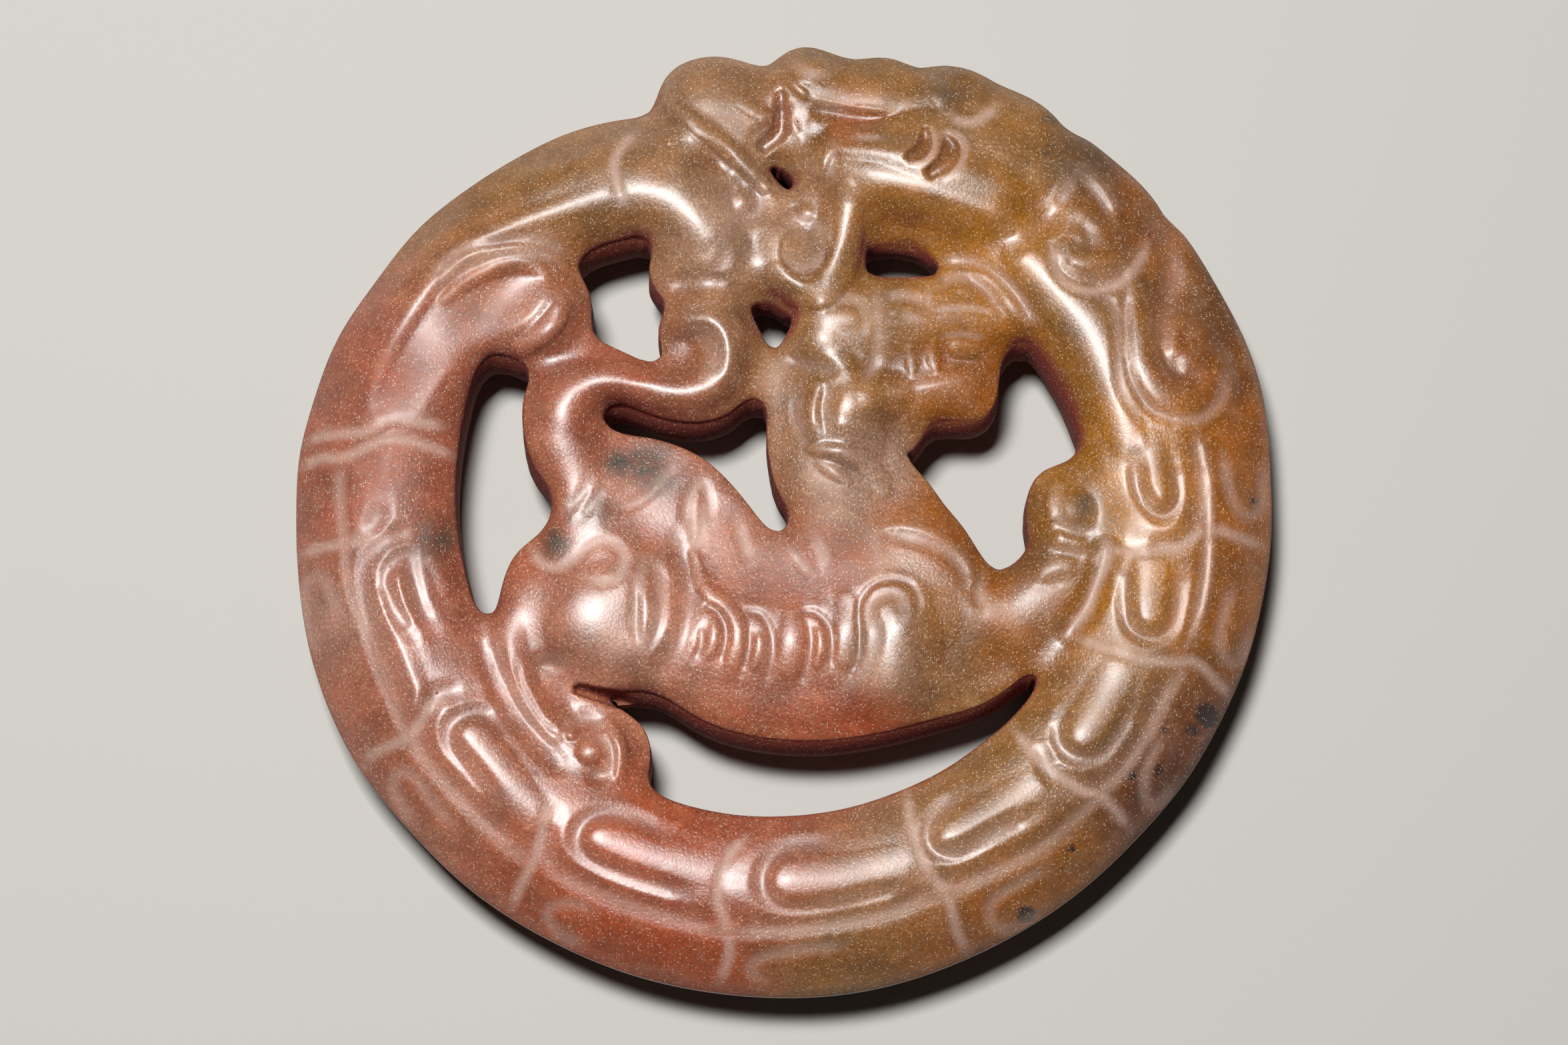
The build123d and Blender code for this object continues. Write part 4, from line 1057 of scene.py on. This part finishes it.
class PENDANT_OT_carve_stone(Operator):
    """Make the carved jade stone"""

    bl_idname = "pendant.carve_stone"
    bl_label = "Carve Stone"

    def execute(self, context):
        scene = context.scene
        stone = blank_stone(scene.pendant_sizes)
        carve(stone, scene.pendant_sizes, scene.pendant_studio)
        thinned(stone)
        stain_stone(stone, scene.pendant_studio)
        stone.data.shade_smooth()
        stone.data.materials.append(jade_material(scene.pendant_colours))
        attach(stone, "root")
        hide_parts(STONE_NODE)
        return {"FINISHED"}


def area_light(name, place, target, width, power):
    """A soft square lamp that points at the target."""
    light = bpy.data.lights.new(name, "AREA")
    light.size = width
    light.energy = power
    lamp = bpy.data.objects.new(name, light)
    lamp.location = place
    lamp.rotation_euler = (Vector(target) - Vector(place)).to_track_quat("-Z", "Y").to_euler()
    bpy.context.scene.collection.objects.link(lamp)


class PENDANT_OT_lay_stage(Operator):
    """Make the floor, the lights and the camera"""

    bl_idname = "pendant.lay_stage"
    bl_label = "Lay Stage"

    def execute(self, context):
        scene = context.scene
        studio = scene.pendant_studio
        bm = bmesh.new()
        bmesh.ops.create_grid(bm, x_segments=1, y_segments=1, size=studio.floor_width / 2)
        mesh = bpy.data.meshes.new("floor")
        bm.to_mesh(mesh)
        bm.free()
        mesh.materials.append(floor_material(scene.pendant_colours))
        floor = bpy.data.objects.new("floor", mesh)
        scene.collection.objects.link(floor)

        centre = (0, 0, MID_HEIGHT)
        for name, (place, width, power) in LAMPS.items():
            area_light(name, place, centre, width, power)

        world = bpy.data.worlds.new("studio_air")
        world.use_nodes = True
        air = world.node_tree.nodes["Background"]
        air.inputs["Color"].default_value = AIR_COLOUR
        air.inputs["Strength"].default_value = AIR_STRENGTH
        scene.world = world

        camera_data = bpy.data.cameras.new("camera")
        camera_data.lens = studio.lens
        camera_data.sensor_width = 36
        camera_data.clip_start = 0.01
        camera = bpy.data.objects.new("camera", camera_data)
        camera.location = eye_place(studio)
        camera.rotation_euler = (studio.tilt, 0, 0)
        scene.collection.objects.link(camera)
        scene.camera = camera
        scene.view_settings.view_transform = "Standard"
        return {"FINISHED"}


class PENDANT_PT_sidebar(Panel):
    """Lists the pendant's sizes, colours and steps"""

    bl_idname = "PENDANT_PT_sidebar"
    bl_label = "Pendant"
    bl_space_type = "VIEW_3D"
    bl_region_type = "UI"
    bl_category = "Pendant"

    def draw(self, context):
        scene = context.scene
        for group in (scene.pendant_sizes, scene.pendant_colours, scene.pendant_studio):
            for name in group.__annotations__:
                self.layout.prop(group, name)
        self.layout.operator("pendant.carve_stone")
        self.layout.operator("pendant.lay_stage")


CLASSES = (
    PendantSizes, PendantColours, PendantStudio, PENDANT_OT_carve_stone, PENDANT_OT_lay_stage,
    PENDANT_PT_sidebar,
)


def register():
    """Makes the classes and settings known."""
    for kind in CLASSES:
        bpy.utils.register_class(kind)
    bpy.types.Scene.pendant_sizes = PointerProperty(type=PendantSizes)
    bpy.types.Scene.pendant_colours = PointerProperty(type=PendantColours)
    bpy.types.Scene.pendant_studio = PointerProperty(type=PendantStudio)


def unregister():
    """Takes the classes and settings away again."""
    del bpy.types.Scene.pendant_sizes
    del bpy.types.Scene.pendant_colours
    del bpy.types.Scene.pendant_studio
    for kind in reversed(CLASSES):
        bpy.utils.unregister_class(kind)


def main():
    """Builds the whole scene."""
    register()
    bpy.ops.pendant.carve_stone()
    bpy.ops.pendant.lay_stage()


if __name__ == "__main__":
    main()
